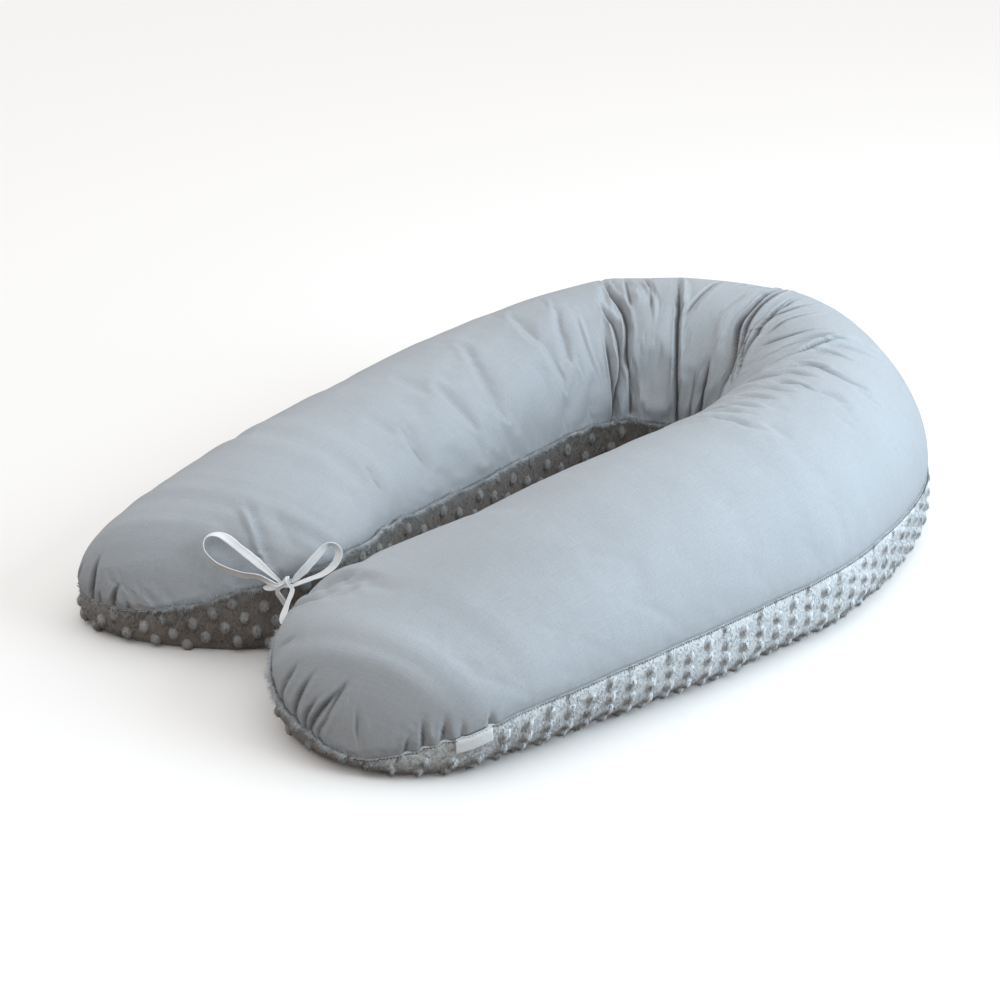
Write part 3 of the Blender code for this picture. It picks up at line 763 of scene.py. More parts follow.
def dots_over(rings, girths, rows):
    """Dots grown over the belly from the lattices' starts, as their places and directions.

    Each has a centre, a frame of its length, width and normal, its size, and how much it is a
    lobe, from 0 to 1.
    """
    columns = rows.shape[1]
    surface = surface_of(rows)
    rim = tree_of(rows[:, [0, -1]].reshape(-1, 3))
    kept, growing, found_on = [], [], []

    def crowded(spot, distance):
        return any((spot - other).length < distance for other in kept)

    def grow(spot, along, lattice, margin=SEAM_MARGIN):
        found, normal, face, away = surface.find_nearest(spot)
        if away > FARTHEST_OFF or crowded(found, NEAREST_DOTS) or rim.find(found)[2] < margin:
            return
        kept.append(found)
        found_on.append(face)
        growing.append((found, onto_plane(along, normal), normal, face, lattice))

    for lattice in LATTICES:
        section, girth = lattice["start"]
        ends = belly(np.array([section, section + SECTION_STEP]), np.array([girth, girth]))
        start, ahead = map(Vector, ends)
        grow(start, ahead - start, lattice, START_MARGIN)
    while growing:
        spot, along, normal, face, lattice = growing.pop(0)
        i, j = divmod(face, columns - 1)
        onward = onto_plane(Vector(rows[i, j + 1] - rows[i, j]), normal)
        onward = (onward - along * onward.dot(along)).normalized()
        for a, b in lattice["steps"]:
            step = along * a + onward * b
            grow(spot + step, along, lattice)
            grow(spot - step, along, lattice)
    for i in range(4, len(rows) - 4, 4):
        for j in range(2, columns - 2, 3):
            spot = Vector(rows[i, j])
            if rim.find(spot)[2] > GAP_MARGIN and not crowded(spot, WIDEST_GAP):
                kept.append(spot)
                found_on.append(i * (columns - 1) + j)
    i, j = np.divmod(np.array(found_on), columns - 1)
    normal = normals_of(rows, outward=-1)[i, j]
    end, over = LOBES_DOWN_TO
    lobed = rising(rings[i], *LOBES_FROM) * np.clip((end - girths[i, j]) / over, 0, 1)
    upward = np.array([0, 0, 1.0]) - normal * normal[:, 2:]
    upward = unit(upward + 0.05 * np.cross(normal, rows[i + 1, j] - rows[i, j]))
    rightward = np.cross(upward, normal)
    turn = np.radians(LOBE_TURN * lobed)[:, None]
    length = upward * np.cos(turn) + rightward * np.sin(turn)
    width = np.cross(normal, length)
    rng = np.random.default_rng(5)
    size = DOT + lobed[:, None] * (LOBE - DOT)
    size = size * rng.uniform(*DOT_SPREAD, size.shape)
    from_seam = np.array([rim.find(spot)[2] for spot in kept])
    size[:, 2] *= np.clip(LOWEST_DOT + (from_seam - SEAM_MARGIN) / DOT_RISE, LOWEST_DOT, 1)
    first, smaller = NEAR_TIP_DOTS
    size *= (1 - smaller * rising(rings[i], first, 1))[:, None]
    return {
        "centre": np.array([list(spot) for spot in kept]),
        "frame": np.stack([length, width, normal], 1),
        "size": size, "lobed": lobed,
    }


SIDE_SHARE = 0.27  # how much of the way round the belly each of its two sides is
SIDE_COLUMNS = 26
UNDER_COLUMNS = 22
NAP_AND_LIGHT_FROM = (0.9, 1.0)  # the section where the pile begins to be painted light, and over how many it does
NAP_AND_LIGHT_DOWN_TO = (95, 40)  # and the girth where it ends
RESTING = 0.004  # the height over which the belly leaves the floor
BELLY_LEAST = 0.0018  # the lowest that the belly's own shape goes, and how far it is pressed down
BELLY_SINK = 0.0014
# Depth of the belly's soft waves and of its pleats at the tips, with their sizes along the pillow
# and round it.
BELLY_WAVE = (0.0014, 0.045, 0.04)
BELLY_PLEAT = (0.0020, 0.013, 0.06)
PLEAT_PLACES = ((0.3, 0.7), (13.9, 0.5))
HELD_BY_SEAM = 0.012
LID_COLUMNS = 9
LID_DEPTH = 0.032  # how far the hidden lid lies below the cotton
LID_LEAST = 0.006
SEAM_BAND = 0.012  # width of the lighter pile beside the seam
# Tones go from 0, dark, to 1, light: the pile's dark roots and light tips, and painted shade and
# painted light as well. This is the belly's tone, and what is added on the outer side, as painted
# light over the brushed pile, and beside the seam.
DARK_TONE = 0.09
NAP_AND_LIGHT_TONE = 0.57
BAND_TONE = 0.12


def plush_shares():
    """Shares of the way round the belly, closer together on its two sides than underneath."""
    side = np.linspace(0, SIDE_SHARE, SIDE_COLUMNS + 1)
    under = np.linspace(SIDE_SHARE, 1 - SIDE_SHARE, UNDER_COLUMNS + 1)[1:-1]
    return np.concatenate([side, under, 1 - side[::-1]])


def nap_and_light_at(rings, girths):
    """How light the pile is painted, from 0 to 1: on the outer side only, partly for its brushed
    pile and partly as painted light.
    """
    end, over = NAP_AND_LIGHT_DOWN_TO
    return np.clip((end - girths) / over, 0, 1) * rising(rings, *NAP_AND_LIGHT_FROM)


def plush_body():
    """The plush underside, closed by the filling's crown. Its raised dots are another piece."""
    rings = even_rings(PLUSH_RINGS)
    girths = even_girths(belly, rings, plush_shares())
    rows = grid_of(belly, rings, girths)
    spine_run = np.interp(rings, FINE, SPINE)
    girth_run = run_lengths(np.moveaxis(rows, 1, 0)).T
    normals = normals_of(rows, outward=-1)
    closeness, nearer = seam_closeness(rows)
    resting = np.exp(-np.maximum(rows[..., 2], 0) / RESTING)
    deep, along, round_it = BELLY_WAVE
    wave = deep * rumple(spine_run[:, None] / along, girth_run / round_it, 11)
    deep, along, round_it = BELLY_PLEAT
    tips = np.clip(sum(bump_at(rings, *tip) for tip in PLEAT_PLACES), 0, 1)[:, None]
    pleats = deep * tips * rumple(spine_run[:, None] / along, girth_run / round_it, 12)
    held = np.clip(nearer / HELD_BY_SEAM, 0, 1)
    height = (wave + pleats) * (1 - 0.9 * resting) * held - SEAM_DRAW * closeness
    rows = rows + normals * height[:, :, None]
    rows[:, :, 2] = np.maximum(rows[:, :, 2], BELLY_LEAST)
    rows[:, :, 2] -= BELLY_SINK * resting
    lid_girths = even_girths(crown, rings, np.linspace(0, 1, LID_COLUMNS))[:, 1:-1]
    lid = grid_of(crown, rings, lid_girths)
    lid = lid - normals_of(lid) * LID_DEPTH
    lid[:, :, 2] = np.maximum(lid[:, :, 2], LID_LEAST)
    lid[0], lid[-1] = rows[0, :1], rows[-1, :1]
    whole = np.concatenate([rows, lid[:, ::-1]], axis=1)
    # The belly's tone: painted light over the brushed pile on the outer side, and a lighter band
    # beside the seam.
    nap_and_light = nap_and_light_at(rings[:, None], girths)
    tone = DARK_TONE + NAP_AND_LIGHT_TONE * nap_and_light + BAND_TONE * bump_at(nearer, 0, SEAM_BAND)
    piece = grid_object(
        "plush_underside", whole, round_it=True, outward=-1,
        values={"tone": np.pad(tone, ((0, 0), (0, lid.shape[1])))},
    )
    return piece, {"rings": rings, "girths": girths, "rows": rows, "nap_and_light": nap_and_light, "nearer": nearer}


# ---------------------------------------------------------------- what repeats


def modelled_dot():
    """One raised dot as a closed half ball, one unit in radius and height."""
    bpy.ops.mesh.primitive_uv_sphere_add(segments=10, ring_count=8, radius=1)
    bpy.ops.object.mode_set(mode="EDIT")
    bpy.ops.mesh.select_all(action="SELECT")
    bpy.ops.mesh.bisect(plane_co=(0, 0, -0.1), plane_no=(0, 0, 1), use_fill=True, clear_inner=True)
    bpy.ops.object.mode_set(mode="OBJECT")
    return taken(bpy.context.object)


def modelled_stitch():
    """One stitch's visible thread, one unit in half length, width and height."""
    bpy.ops.mesh.primitive_uv_sphere_add(segments=6, ring_count=4, radius=1)
    bpy.context.object.rotation_euler = (0, math.radians(90), 0)
    bpy.ops.object.transform_apply(location=False, rotation=True, scale=False)
    return taken(bpy.context.object)


def taken(model):
    """A modelled shape's points and faces. The model itself is removed."""
    points = np.array([list(vertex.co) for vertex in model.data.vertices])
    faces = [tuple(face.vertices) for face in model.data.polygons]
    discard(model)
    return points, faces


def copies(name, shape, places, frames, values=None):
    """Copies of a small shape as one mesh, each at its place and in its frame of three axes."""
    points, faces = shape
    points = np.broadcast_to(points, (len(places), *points.shape[-2:]))
    every = places[:, None, :] + np.einsum("npk,nkc->npc", points, frames)
    every[:, :, 2] = np.maximum(every[:, :, 2], FLOOR_GAP)
    made = [
        tuple(corner + number * points.shape[1] for corner in face)
        for number in range(len(places)) for face in faces
    ]
    return new_piece(name, every.reshape(-1, 3), made, values)


# The middle and width of a lobe's flank of painted shade and of its ridge of painted highlight,
# across it and along it.
SHADED_FLANK = ((0.42, 0.24), (-0.14, 0.50))
LIT_RIDGE = ((-0.20, 0.28), (0.08, 0.70))


def lobe_share(part, across_dot):
    """How much places on a lobe lie on a part of it. They are shares of its two half sizes."""
    across_it, along_it = part
    share = bump_at(across_dot @ FLANK_WAY, *across_it)
    return share * bump_at(across_dot @ FLANK_LINE, *along_it)


def power_of(lobed):
    return DOT_POWER + lobed * (LOBE_POWER - DOT_POWER)


def droop_of(lobed):
    return DOT_DROOP + lobed * (LOBE_DROOP - DOT_DROOP)


PRESSED_UNDER = 0.006  # a dot whose middle is lower than this is pressed flat
LABEL_CLEARANCE = 0.0125
DOT_SINK = 0.0012
DOT_TONE = 0.15  # at a dot's foot, and the painted highlight added at its top
DOT_TOP_HIGHLIGHT = 0.17
# A lobe's tone, the painted highlight on its ridge and the painted shade on its flank.
LOBE_TONE = 0.68
LOBE_HIGHLIGHT_TONE = 0.18
LOBE_SHADE_TONE = 0.04


def shown(dots):
    """Which dots stand up: not those pressed flat by the pillow's weight or by the label."""
    numbers = np.linspace(*LABEL_SECTIONS, 7)
    line = belly(numbers, np.zeros(7)) - np.array([0, 0, LABEL_HEIGHT * 0.55])
    away = np.linalg.norm(dots["centre"][:, None] - line[None], axis=2).min(axis=1)
    return (dots["centre"][:, 2] > PRESSED_UNDER) & (away > LABEL_CLEARANCE)


def plush_dots(dots):
    """The raised dots of the pile that don't lie under the pillow's weight."""
    clear = shown(dots)
    centre, frame = dots["centre"][clear], dots["frame"][clear]
    size, lobed = dots["size"][clear], dots["lobed"][clear]
    frames = frame * size[:, :, None]
    frames[:, 2, 2] -= droop_of(lobed) * size[:, 2]
    ball, faces = modelled_dot()
    high = np.clip(ball[:, 2], 0, 1)
    # A plain dot's top is painted lighter, as a highlight, and its foot darker, as shade.
    plain_tone = DOT_TONE + DOT_TOP_HIGHLIGHT * high**0.7
    # Lobes get a painted highlight on their ridge and painted shade on their flank.
    lobe_tone = LOBE_TONE + LOBE_HIGHLIGHT_TONE * lobe_share(LIT_RIDGE, ball[:, :2])
    lobe_tone = lobe_tone + (LOBE_SHADE_TONE - lobe_tone) * lobe_share(SHADED_FLANK, ball[:, :2])
    tone = plain_tone + lobed[:, None] * (lobe_tone - plain_tone)
    points = np.repeat(ball[None], len(centre), axis=0)
    points[:, :, 2] = np.sign(ball[:, 2]) * np.abs(ball[:, 2]) ** power_of(lobed)[:, None]
    sunk = centre - frame[:, 2] * DOT_SINK
    return copies("plush_dots", (points, faces), sunk, frames, {"tone": tone})


# ---------------------------------------------------------------- the pile

TUFT_LENGTH = (0.0026, 0.0052)
TUFT_WIDTH = (0.00024, 0.00044)
TUFT_POINTS = 4  # three roots and a tip
TUFT_FACES = ((0, 1, 2), (0, 3, 1), (1, 3, 2), (2, 3, 0))
STREAK = (0.0017, 0.0080)  # how wide and long the pile's light and dark streaks are
STREAK_SEEDS = (21, 22)
JUST_UNDER = 0.001  # keeps a fractional number inside the last cell of a grid
JUST_OVER_ONE = 1 + JUST_UNDER
PILE_OVER = 0.005  # no pile lower than this, or nearer to the seam's middle than the next
PILE_OFF_SEAM = 0.0012
LEG_FROM = (1.2, 0.6)  # the section where the far end's plain pile ends, and over how many
ROOT_SINK = 0.0003
DOT_ROOT_SINK = 0.0014
LEAST_LIFT = 0.25  # how much each tuft stands off the cloth at least
# The tones of the tufts: what is added to the dark one on the outer side, as painted light over the
# brushed pile, beside the seam and beside it on the inside of a leg, then on plain dots and as a
# painted highlight on their tops, and the painted highlight and shade on lobes.
PILE_NAP_AND_LIGHT_TONE = 0.58
PILE_BAND_TONE = 0.13
PILE_LEG_TONE = 0.12
PILE_DOT_TONE = 0.17
PILE_TOP_HIGHLIGHT = 0.17
PILE_HIGHLIGHT_TONE = 0.19
PILE_SHADE_TONE = 0.03
# How strong the streaks are: everywhere, and what lobes and the inside of a leg add.
STREAKY = 0.05
STREAKY_LOBE = 0.09
STREAKY_LEG = 0.11
PILE_GRAIN = 0.05


def sampled(rows, i, j):
    """Points of a grid at fractional ring and column numbers."""
    i0, j0 = i.astype(int), j.astype(int)
    fi, fj = (i - i0)[:, None], (j - j0)[:, None]
    near = rows[i0, j0] * (1 - fj) + rows[i0, j0 + 1] * fj
    far = rows[i0 + 1, j0] * (1 - fj) + rows[i0 + 1, j0 + 1] * fj
    return near * (1 - fi) + far * fi


def tufts(name, roots, outward, lean, length, width, shade):
    """Small closed tufts of pile, as one mesh. Each leans over from its root."""
    rng = np.random.default_rng(17)
    count = len(roots)
    turn = rng.uniform(0, 2 * math.pi, count)[:, None]
    aside = unit(np.cross(outward, lean))
    ahead = unit(np.cross(aside, outward))
    base = []
    for third in (0, 1, 2):
        angle = turn + third * 2 * math.pi / 3
        base.append(roots + width[:, None] * (np.cos(angle) * aside + np.sin(angle) * ahead))
    tip = roots + lean * length[:, None]
    points = np.stack([*base, tip], axis=1).reshape(-1, 3)
    points[:, 2] = np.maximum(points[:, 2], FLOOR_GAP)
    first = np.arange(count)[:, None, None] * TUFT_POINTS
    faces = (first + np.array(TUFT_FACES)).reshape(-1, 3)
    return new_piece(name, points, faces.tolist(), {"tone": np.repeat(shade, TUFT_POINTS)})


def scattered(body, count, columns, busy, rng):
    """Roots of pile over some of the belly's columns, with its normals and what it is like there.

    There are more of them where busy, a share of each ring, is high.
    """
    rows = body["rows"]
    numbers = np.arange(len(rows))
    steps = np.cumsum(np.interp(numbers[:-1], numbers, busy))
    i = np.interp(rng.uniform(0, steps[-1], count), steps, np.arange(len(steps)))
    i = np.clip(i, 0, len(rows) - 1 - JUST_OVER_ONE)
    j = rng.uniform(columns[0], columns[1] - JUST_UNDER, count)
    around = run_lengths(np.moveaxis(rows, 1, 0)).T
    nap_and_light, nearer, around = (
        sampled(value[:, :, None], i, j)[:, 0] for value in (body["nap_and_light"], body["nearer"], around)
    )
    roots = sampled(rows, i, j)
    normals = unit(sampled(normals_of(rows, outward=-1), i, j))
    section = np.interp(i, numbers, body["rings"])
    across = np.interp(section, FINE, SPINE) - math.tan(math.radians(LOBE_TURN)) * around
    streak, parting = (rumple(across / STREAK[0], around / STREAK[1], n) for n in STREAK_SEEDS)
    keep = (roots[:, 2] > PILE_OVER) & (nearer > PILE_OFF_SEAM)
    every = (roots, normals, nap_and_light, nearer, streak, parting, rising(section, *LEG_FROM))
    return (value[keep] for value in every)


def pile_over(name, body, dots, count, columns, busy, seed):
    """Short pile over a side of the belly and over its dots, brushed down and lying over lobes."""
    rng = np.random.default_rng(seed)
    roots, normals, nap_and_light, nearer, streak, parting, leg = scattered(body, count, columns, busy, rng)
    tree = tree_of(dots["centre"])
    near = np.array([tree.find(root)[1] for root in roots])
    frame, size, standing = dots["frame"][near], dots["size"][near], shown(dots)[near]
    away = np.einsum("nkc,nc->nk", frame, roots - dots["centre"][near])
    reach = (away[:, 0] / size[:, 0]) ** 2 + (away[:, 1] / size[:, 1]) ** 2
    on_dot = (reach < 1) & standing
    lobed = dots["lobed"][near]
    half_power = power_of(lobed) / 2
    inside = np.clip(1 - reach, 1e-3, 1)
    lift = inside**half_power * on_dot
    grown = np.column_stack([away[:, :2], size[:, 2] * lift - DOT_ROOT_SINK])
    grown = np.einsum("nk,nkc->nc", grown, frame)
    grown[:, 2] -= droop_of(lobed) * size[:, 2] * lift
    roots = np.where(on_dot[:, None], dots["centre"][near] + grown, roots - normals * ROOT_SINK)
    steep = (2 * half_power * size[:, 2] * inside ** (half_power - 1))[:, None]
    slope = np.column_stack([steep * away[:, :2] / size[:, :2] ** 2, np.ones(len(roots))])
    bulging = unit(np.einsum("nk,nkc->nc", slope, frame))
    outward = np.where(on_dot[:, None], unit(bulging + 0.2 * normals), normals)
    down = np.array([0, 0, -1.0]) - outward * -outward[:, 2:]
    brushed = unit(down - 0.8 * lobed[:, None] * frame[:, 0])
    brushed = brushed + 0.35 * parting[:, None] * frame[:, 1]
    lean = unit(0.36 * outward + 0.85 * brushed + 0.20 * rng.normal(size=roots.shape))
    low = (lean * outward).sum(axis=1)
    lean = unit(lean + outward * np.clip(LEAST_LIFT - low, 0, None)[:, None])
    band = bump_at(nearer, 0, SEAM_BAND)
    beside_seam = (PILE_BAND_TONE + PILE_LEG_TONE * leg * (1 - nap_and_light)) * band
    # The ground's tone carries the painted light of the outer side.
    ground = DARK_TONE + PILE_NAP_AND_LIGHT_TONE * nap_and_light + beside_seam
    # Tufts on plain dots get a painted highlight towards the dots' tops.
    tone = np.where(on_dot, PILE_DOT_TONE + PILE_TOP_HIGHLIGHT * lift, ground)
    # Tufts on a lobe get its painted highlight and painted shade as well.
    beside = away[:, :2] / size[:, :2]
    dark = lobe_share(SHADED_FLANK, beside)
    lit_and_shaded_tone = ground + PILE_HIGHLIGHT_TONE * lobe_share(LIT_RIDGE, beside)
    lit_and_shaded_tone = lit_and_shaded_tone + (PILE_SHADE_TONE - lit_and_shaded_tone) * dark
    tone = tone + (lit_and_shaded_tone - tone) * lobed * standing
    streaky = STREAKY + STREAKY_LOBE * lobed * (1 - dark) + STREAKY_LEG * (1 - lobed) * leg
    tone = tone + streaky * streak + rng.normal(0, PILE_GRAIN, len(roots))
    length = rng.uniform(*TUFT_LENGTH, len(roots)) * np.where(on_dot, 1.0, 0.8)
    width = rng.uniform(*TUFT_WIDTH, len(roots))
    return tufts(name, roots, outward, lean, length, width, tone)


# ---------------------------------------------------------------- the seam

STITCH_PITCH = 0.0034
STITCH = np.array([0.00150, 0.00062, 0.00050])  # half a stitch's length, width and height
STITCH_SLANT = 66  # degrees from the seam's own direction
STITCH_OUT = 0.0027  # how far a stitch's middle is from the seam's line, outwards and over it
STITCH_OVER = 0.0006
STITCHES_FROM = 0.07  # as a share of the outer seam. At the far end the pile covers them
THREAD_HALF = 0.00035
THREAD_OVERLAP = 1.1
FRINGE_OUT = 0.0008
FRINGE_SPREAD = 0.0006
FRINGE_CLUMP = 0.0034
FRINGE_WIDTH = (0.0002, 0.0004)


def evenly_along(line, pitch):
    """Places one pitch apart along a line of points, as fractional numbers of its points."""
    reach = run_lengths(line)
    return np.interp(np.arange(pitch / 2, reach[-1], pitch), reach, np.arange(len(line)))


def along_line(line, at):
    first = np.clip(at.astype(int), 0, len(line) - 2)
    share = (at - first)[:, None]
    return line[first] * (1 - share) + line[first + 1] * share


def seam_frames(rows):
    """The line of each seam, with its directions along it, over it and outwards."""
    found = []
    normals = normals_of(rows)
    for column, inner in ((1, 3), (-2, -4)):
        line = rows[1:-1, column]
        ahead = unit(np.gradient(line, axis=0))
        inward = unit(rows[1:-1, inner] - line)
        inward = unit(inward - ahead * (inward * ahead).sum(axis=1, keepdims=True))
        outward = unit(normals[1:-1, inner] - 0.75 * inward)
        over = unit(np.cross(outward, ahead))
        over = over * np.sign((over * inward).sum(axis=1, keepdims=True))
        square = np.cross(ahead, over)
        square = square * np.sign((square * outward).sum(axis=1, keepdims=True))
        found.append((line, ahead, over, square))
    return found


def seam_stitches(rows):
    """The thread that shows along the seam, one slanted stitch after another."""
    slant = math.radians(STITCH_SLANT)
    line, ahead, over, outward = seam_frames(rows)[0]
    at = evenly_along(line, STITCH_PITCH)
    at = at[at > STITCHES_FROM * len(line)]
    spot, ahead, over, outward = (along_line(part, at) for part in (line, ahead, over, outward))
    run = ahead * math.cos(slant) + over * math.sin(slant)
    aside = np.cross(outward, run)
    places = [spot + outward * STITCH_OUT + over * STITCH_OVER]
    frames = [np.stack([run, aside, outward], axis=1) * STITCH[:, None]]
    for ends in LOOSE_THREAD:
        start, end = (from_knot(np.array(spot)) for spot in ends)
        run = (end - start) / 2
        aside = unit(np.cross(run, [0, 0, 1.0]))
        thick = unit(np.cross(run, aside)) * THREAD_HALF
        places.append(((start + end) / 2)[None])
        frames.append(np.stack([run * THREAD_OVERLAP, aside * THREAD_HALF, thick])[None])
    places, frames = np.concatenate(places), np.concatenate(frames)
    return copies("seam_stitches", modelled_stitch(), places, frames)


def seam_fringe(rows, name, which, count, start, length, rise, lightness, seed):
    """Pile that stands out of a seam and lies over the cotton's edge."""
    rng = np.random.default_rng(seed)
    line, _, over, outward = seam_frames(rows)[which]
    reach, numbers = run_lengths(line), np.arange(len(line))
    at = np.interp(rng.uniform(0, 1, count), reach / reach[-1], numbers)
    at = np.clip(at, 0, len(line) - JUST_OVER_ONE)
    spot, over, outward = (along_line(part, at) for part in (line, over, outward))
    roots = spot + over * start + outward * FRINGE_OUT
    roots = roots + over * rng.normal(0, FRINGE_SPREAD, (count, 1))
    lean = unit(0.75 * outward + rise * over + 0.45 * rng.normal(size=roots.shape))
    clump = rumple(np.interp(at, numbers, reach) / FRINGE_CLUMP, at * 0, seed)
    tone = np.clip(rng.normal(lightness, 0.10, count) + 0.14 * clump, 0.2, 1)
    long = rng.uniform(0.6, 1.3, count) * length * (1 + 0.4 * clump)
    wide = rng.uniform(*FRINGE_WIDTH, count)
    return tufts(name, roots, outward, lean, long, wide, tone)


# ---------------------------------------------------------------- the bow

TAPE_WIDTH = 0.009
TAPE_HALF = 0.00042  # half its thickness where it is thinnest, between its folded edges
KNOT = np.array([-0.040, 0.078, 0.092]) + CENTRE
BOW_TURN = 44.6
BOW_TILT = 25.4
ROUTE_STEPS = 3  # steps between two rows of a route, as in the part
FINER = 3  # and how many of this tape's steps are in one of those

# Routes of the two tapes in millimetres to the right of, above and in front of the knot, the
# tape's width as a share of its full one, and how far it has twisted since it left its seam.
FAR_TAPE_START = (0.95, 0.28, 0.08)  # the way across each tape where it leaves the seam
FAR_TAPE_ROUTE = (
    (-20.6, -1.5, -19.7, 1.0, 0),
    (-19.0, -3.6, -14.5, 1.0, 10),
    (-13.5, -4.2, -10.5, 0.8, 25),
    (-7.5, -3.0, -7.0, 0.5, 45),
    (-2.5, -0.5, -4.6, 0.4, 60),  # behind the knot
    (0.8, 3.2, -3.6, 0.4, 60),
    (1.6, 5.6, -0.6, 0.4, 60),  # over its top
    (0.6, 4.4, 2.4, 0.4, 60),
    (-2.2, 1.2, 3.0, 0.4, 60),  # and down its front
    (-7.5, -0.6, 3.6, 0.5, 45),
    (-14.0, 1.5, 4.0, 0.7, 25),
    (-26.7, 7.6, 2.0, 0.9, 5),  # the left loop's lower strand
    (-44.8, 9.6, -6.0, 1.0, 0),
    (-61.7, 14.6, -12.0, 1.0, 0),
    (-76.5, 22.5, -17.0, 1.0, -5),
    (-86.0, 33.8, -20.0, 1.0, -10),
    (-87.2, 44.5, -21.5, 1.0, -10),
    (-82.0, 50.8, -22.0, 1.0, 0),
    (-72.0, 51.8, -21.5, 1.0, 20),
    (-61.7, 47.4, -19.5, 1.0, 40),
    (-48.2, 37.1, -14.5, 1.0, 55),  # and its upper strand
    (-31.3, 24.6, -8.0, 1.0, 60),
    (-17.4, 13.2, -3.0, 0.7, 65),
    (-10.0, 7.0, -1.6, 0.5, 65),
    (-5.0, 2.8, -1.8, 0.4, 65),
    (-1.0, -0.6, -2.0, 0.4, 65),
    (2.6, -3.4, -2.0, 0.4, 65),  # tucked in behind the knot
)
NEAR_TAPE_START = (-0.36, -0.57, 0.73)
NEAR_TAPE_ROUTE = (
    (6.2, -38.5, 42.4, 1.0, 0),
    (3.2, -36.5, 39.0, 1.0, -5),
    (2.2, -31.0, 33.0, 1.0, -15),
    (4.5, -20.0, 20.0, 0.9, -30),
    (8.0, -10.0, 11.0, 0.7, -20),
    (8.6, -4.5, 7.0, 0.5, -15),
    (5.0, 0.0, 5.2, 0.4, -10),  # up the knot's front
    (3.0, 4.6, 4.6, 0.4, -10),
    (3.2, 7.8, 1.0, 0.4, -10),  # over its top
    (3.4, 6.4, -3.6, 0.4, -10),
    (4.2, 3.4, -6.0, 0.4, -30),
    (8.5, 3.6, -6.4, 0.5, -45),
    (13.0, 8.0, -5.0, 0.8, -35),
    (20.9, 15.6, -3.0, 1.0, -25),  # the right loop's left strand
    (31.0, 27.1, -3.0, 1.0, -20),
    (40.0, 37.1, -4.0, 1.0, 0),
    (46.8, 42.2, -5.0, 1.0, 30),
    (53.6, 39.4, -5.5, 1.0, 10),
    (56.3, 31.5, -5.5, 1.0, -20),
    (51.3, 20.2, -5.0, 1.0, -20),
    (40.0, 11.0, -4.0, 1.0, 5),  # and its lower strand
    (27.5, 6.0, -3.0, 0.9, 5),
    (16.0, 1.5, -1.8, 0.6, -15),
    (9.5, -1.0, -0.4, 0.4, -40),
    (4.0, -1.6, 0.4, 0.4, -45),  # through the knot
    (-1.5, -1.8, 0.5, 0.4, -45),
    (-5.8, -4.4, 0.2, 0.4, -50),
    (-7.2, -8.5, -1.0, 0.6, -55),  # the free end
    (-3.2, -15.0, -2.0, 0.9, -40),
    (1.0, -21.5, -3.0, 1.0, -35),
)
LOOSE_THREAD = (  # a cut end of thread under the knot, in the same millimetres
    ((-4.6, -28.5, 8.0), (-6.8, -32.0, 8.0)),
    ((-6.8, -32.0, 8.0), (-2.2, -34.0, 8.5)),
)


def bow_axes():
    """The bow's right, up and front directions."""
    turn, tilt = math.radians(BOW_TURN), math.radians(BOW_TILT)
    right = np.array([math.cos(turn), math.sin(turn), 0])
    front = np.array([
        math.sin(turn) * math.cos(tilt), -math.cos(turn) * math.cos(tilt), math.sin(tilt),
    ])
    return np.array([right, np.cross(front, right), front])


def from_knot(place_beside):
    return KNOT + place_beside / 1000 @ bow_axes()


TAPE_TWIST = 6  # degrees that the tape waves to and fro
TAPE_WAVE = 0.013
EDGE_WAVE = 0.007
# Round the tape, from its middle: how far across, as a share of half its width, and how far up,
# as a share of half its thickness. The two edges are folded in, so they are thicker.
TAPE_ROUND = np.array([
    (0.0, 0.75), (0.45, 0.80), (0.62, 1.15), (0.80, 1.30), (0.95, 1.10), (1.0, 0.0),
    (0.95, -1.10), (0.80, -1.30), (0.62, -1.15), (0.45, -0.80), (0.0, -0.75), (-0.45, -0.80),
    (-0.62, -1.15), (-0.80, -1.30), (-0.95, -1.10), (-1.0, 0.0), (-0.95, 1.10), (-0.80, 1.30),
    (-0.62, 1.15), (-0.45, 0.80),
])


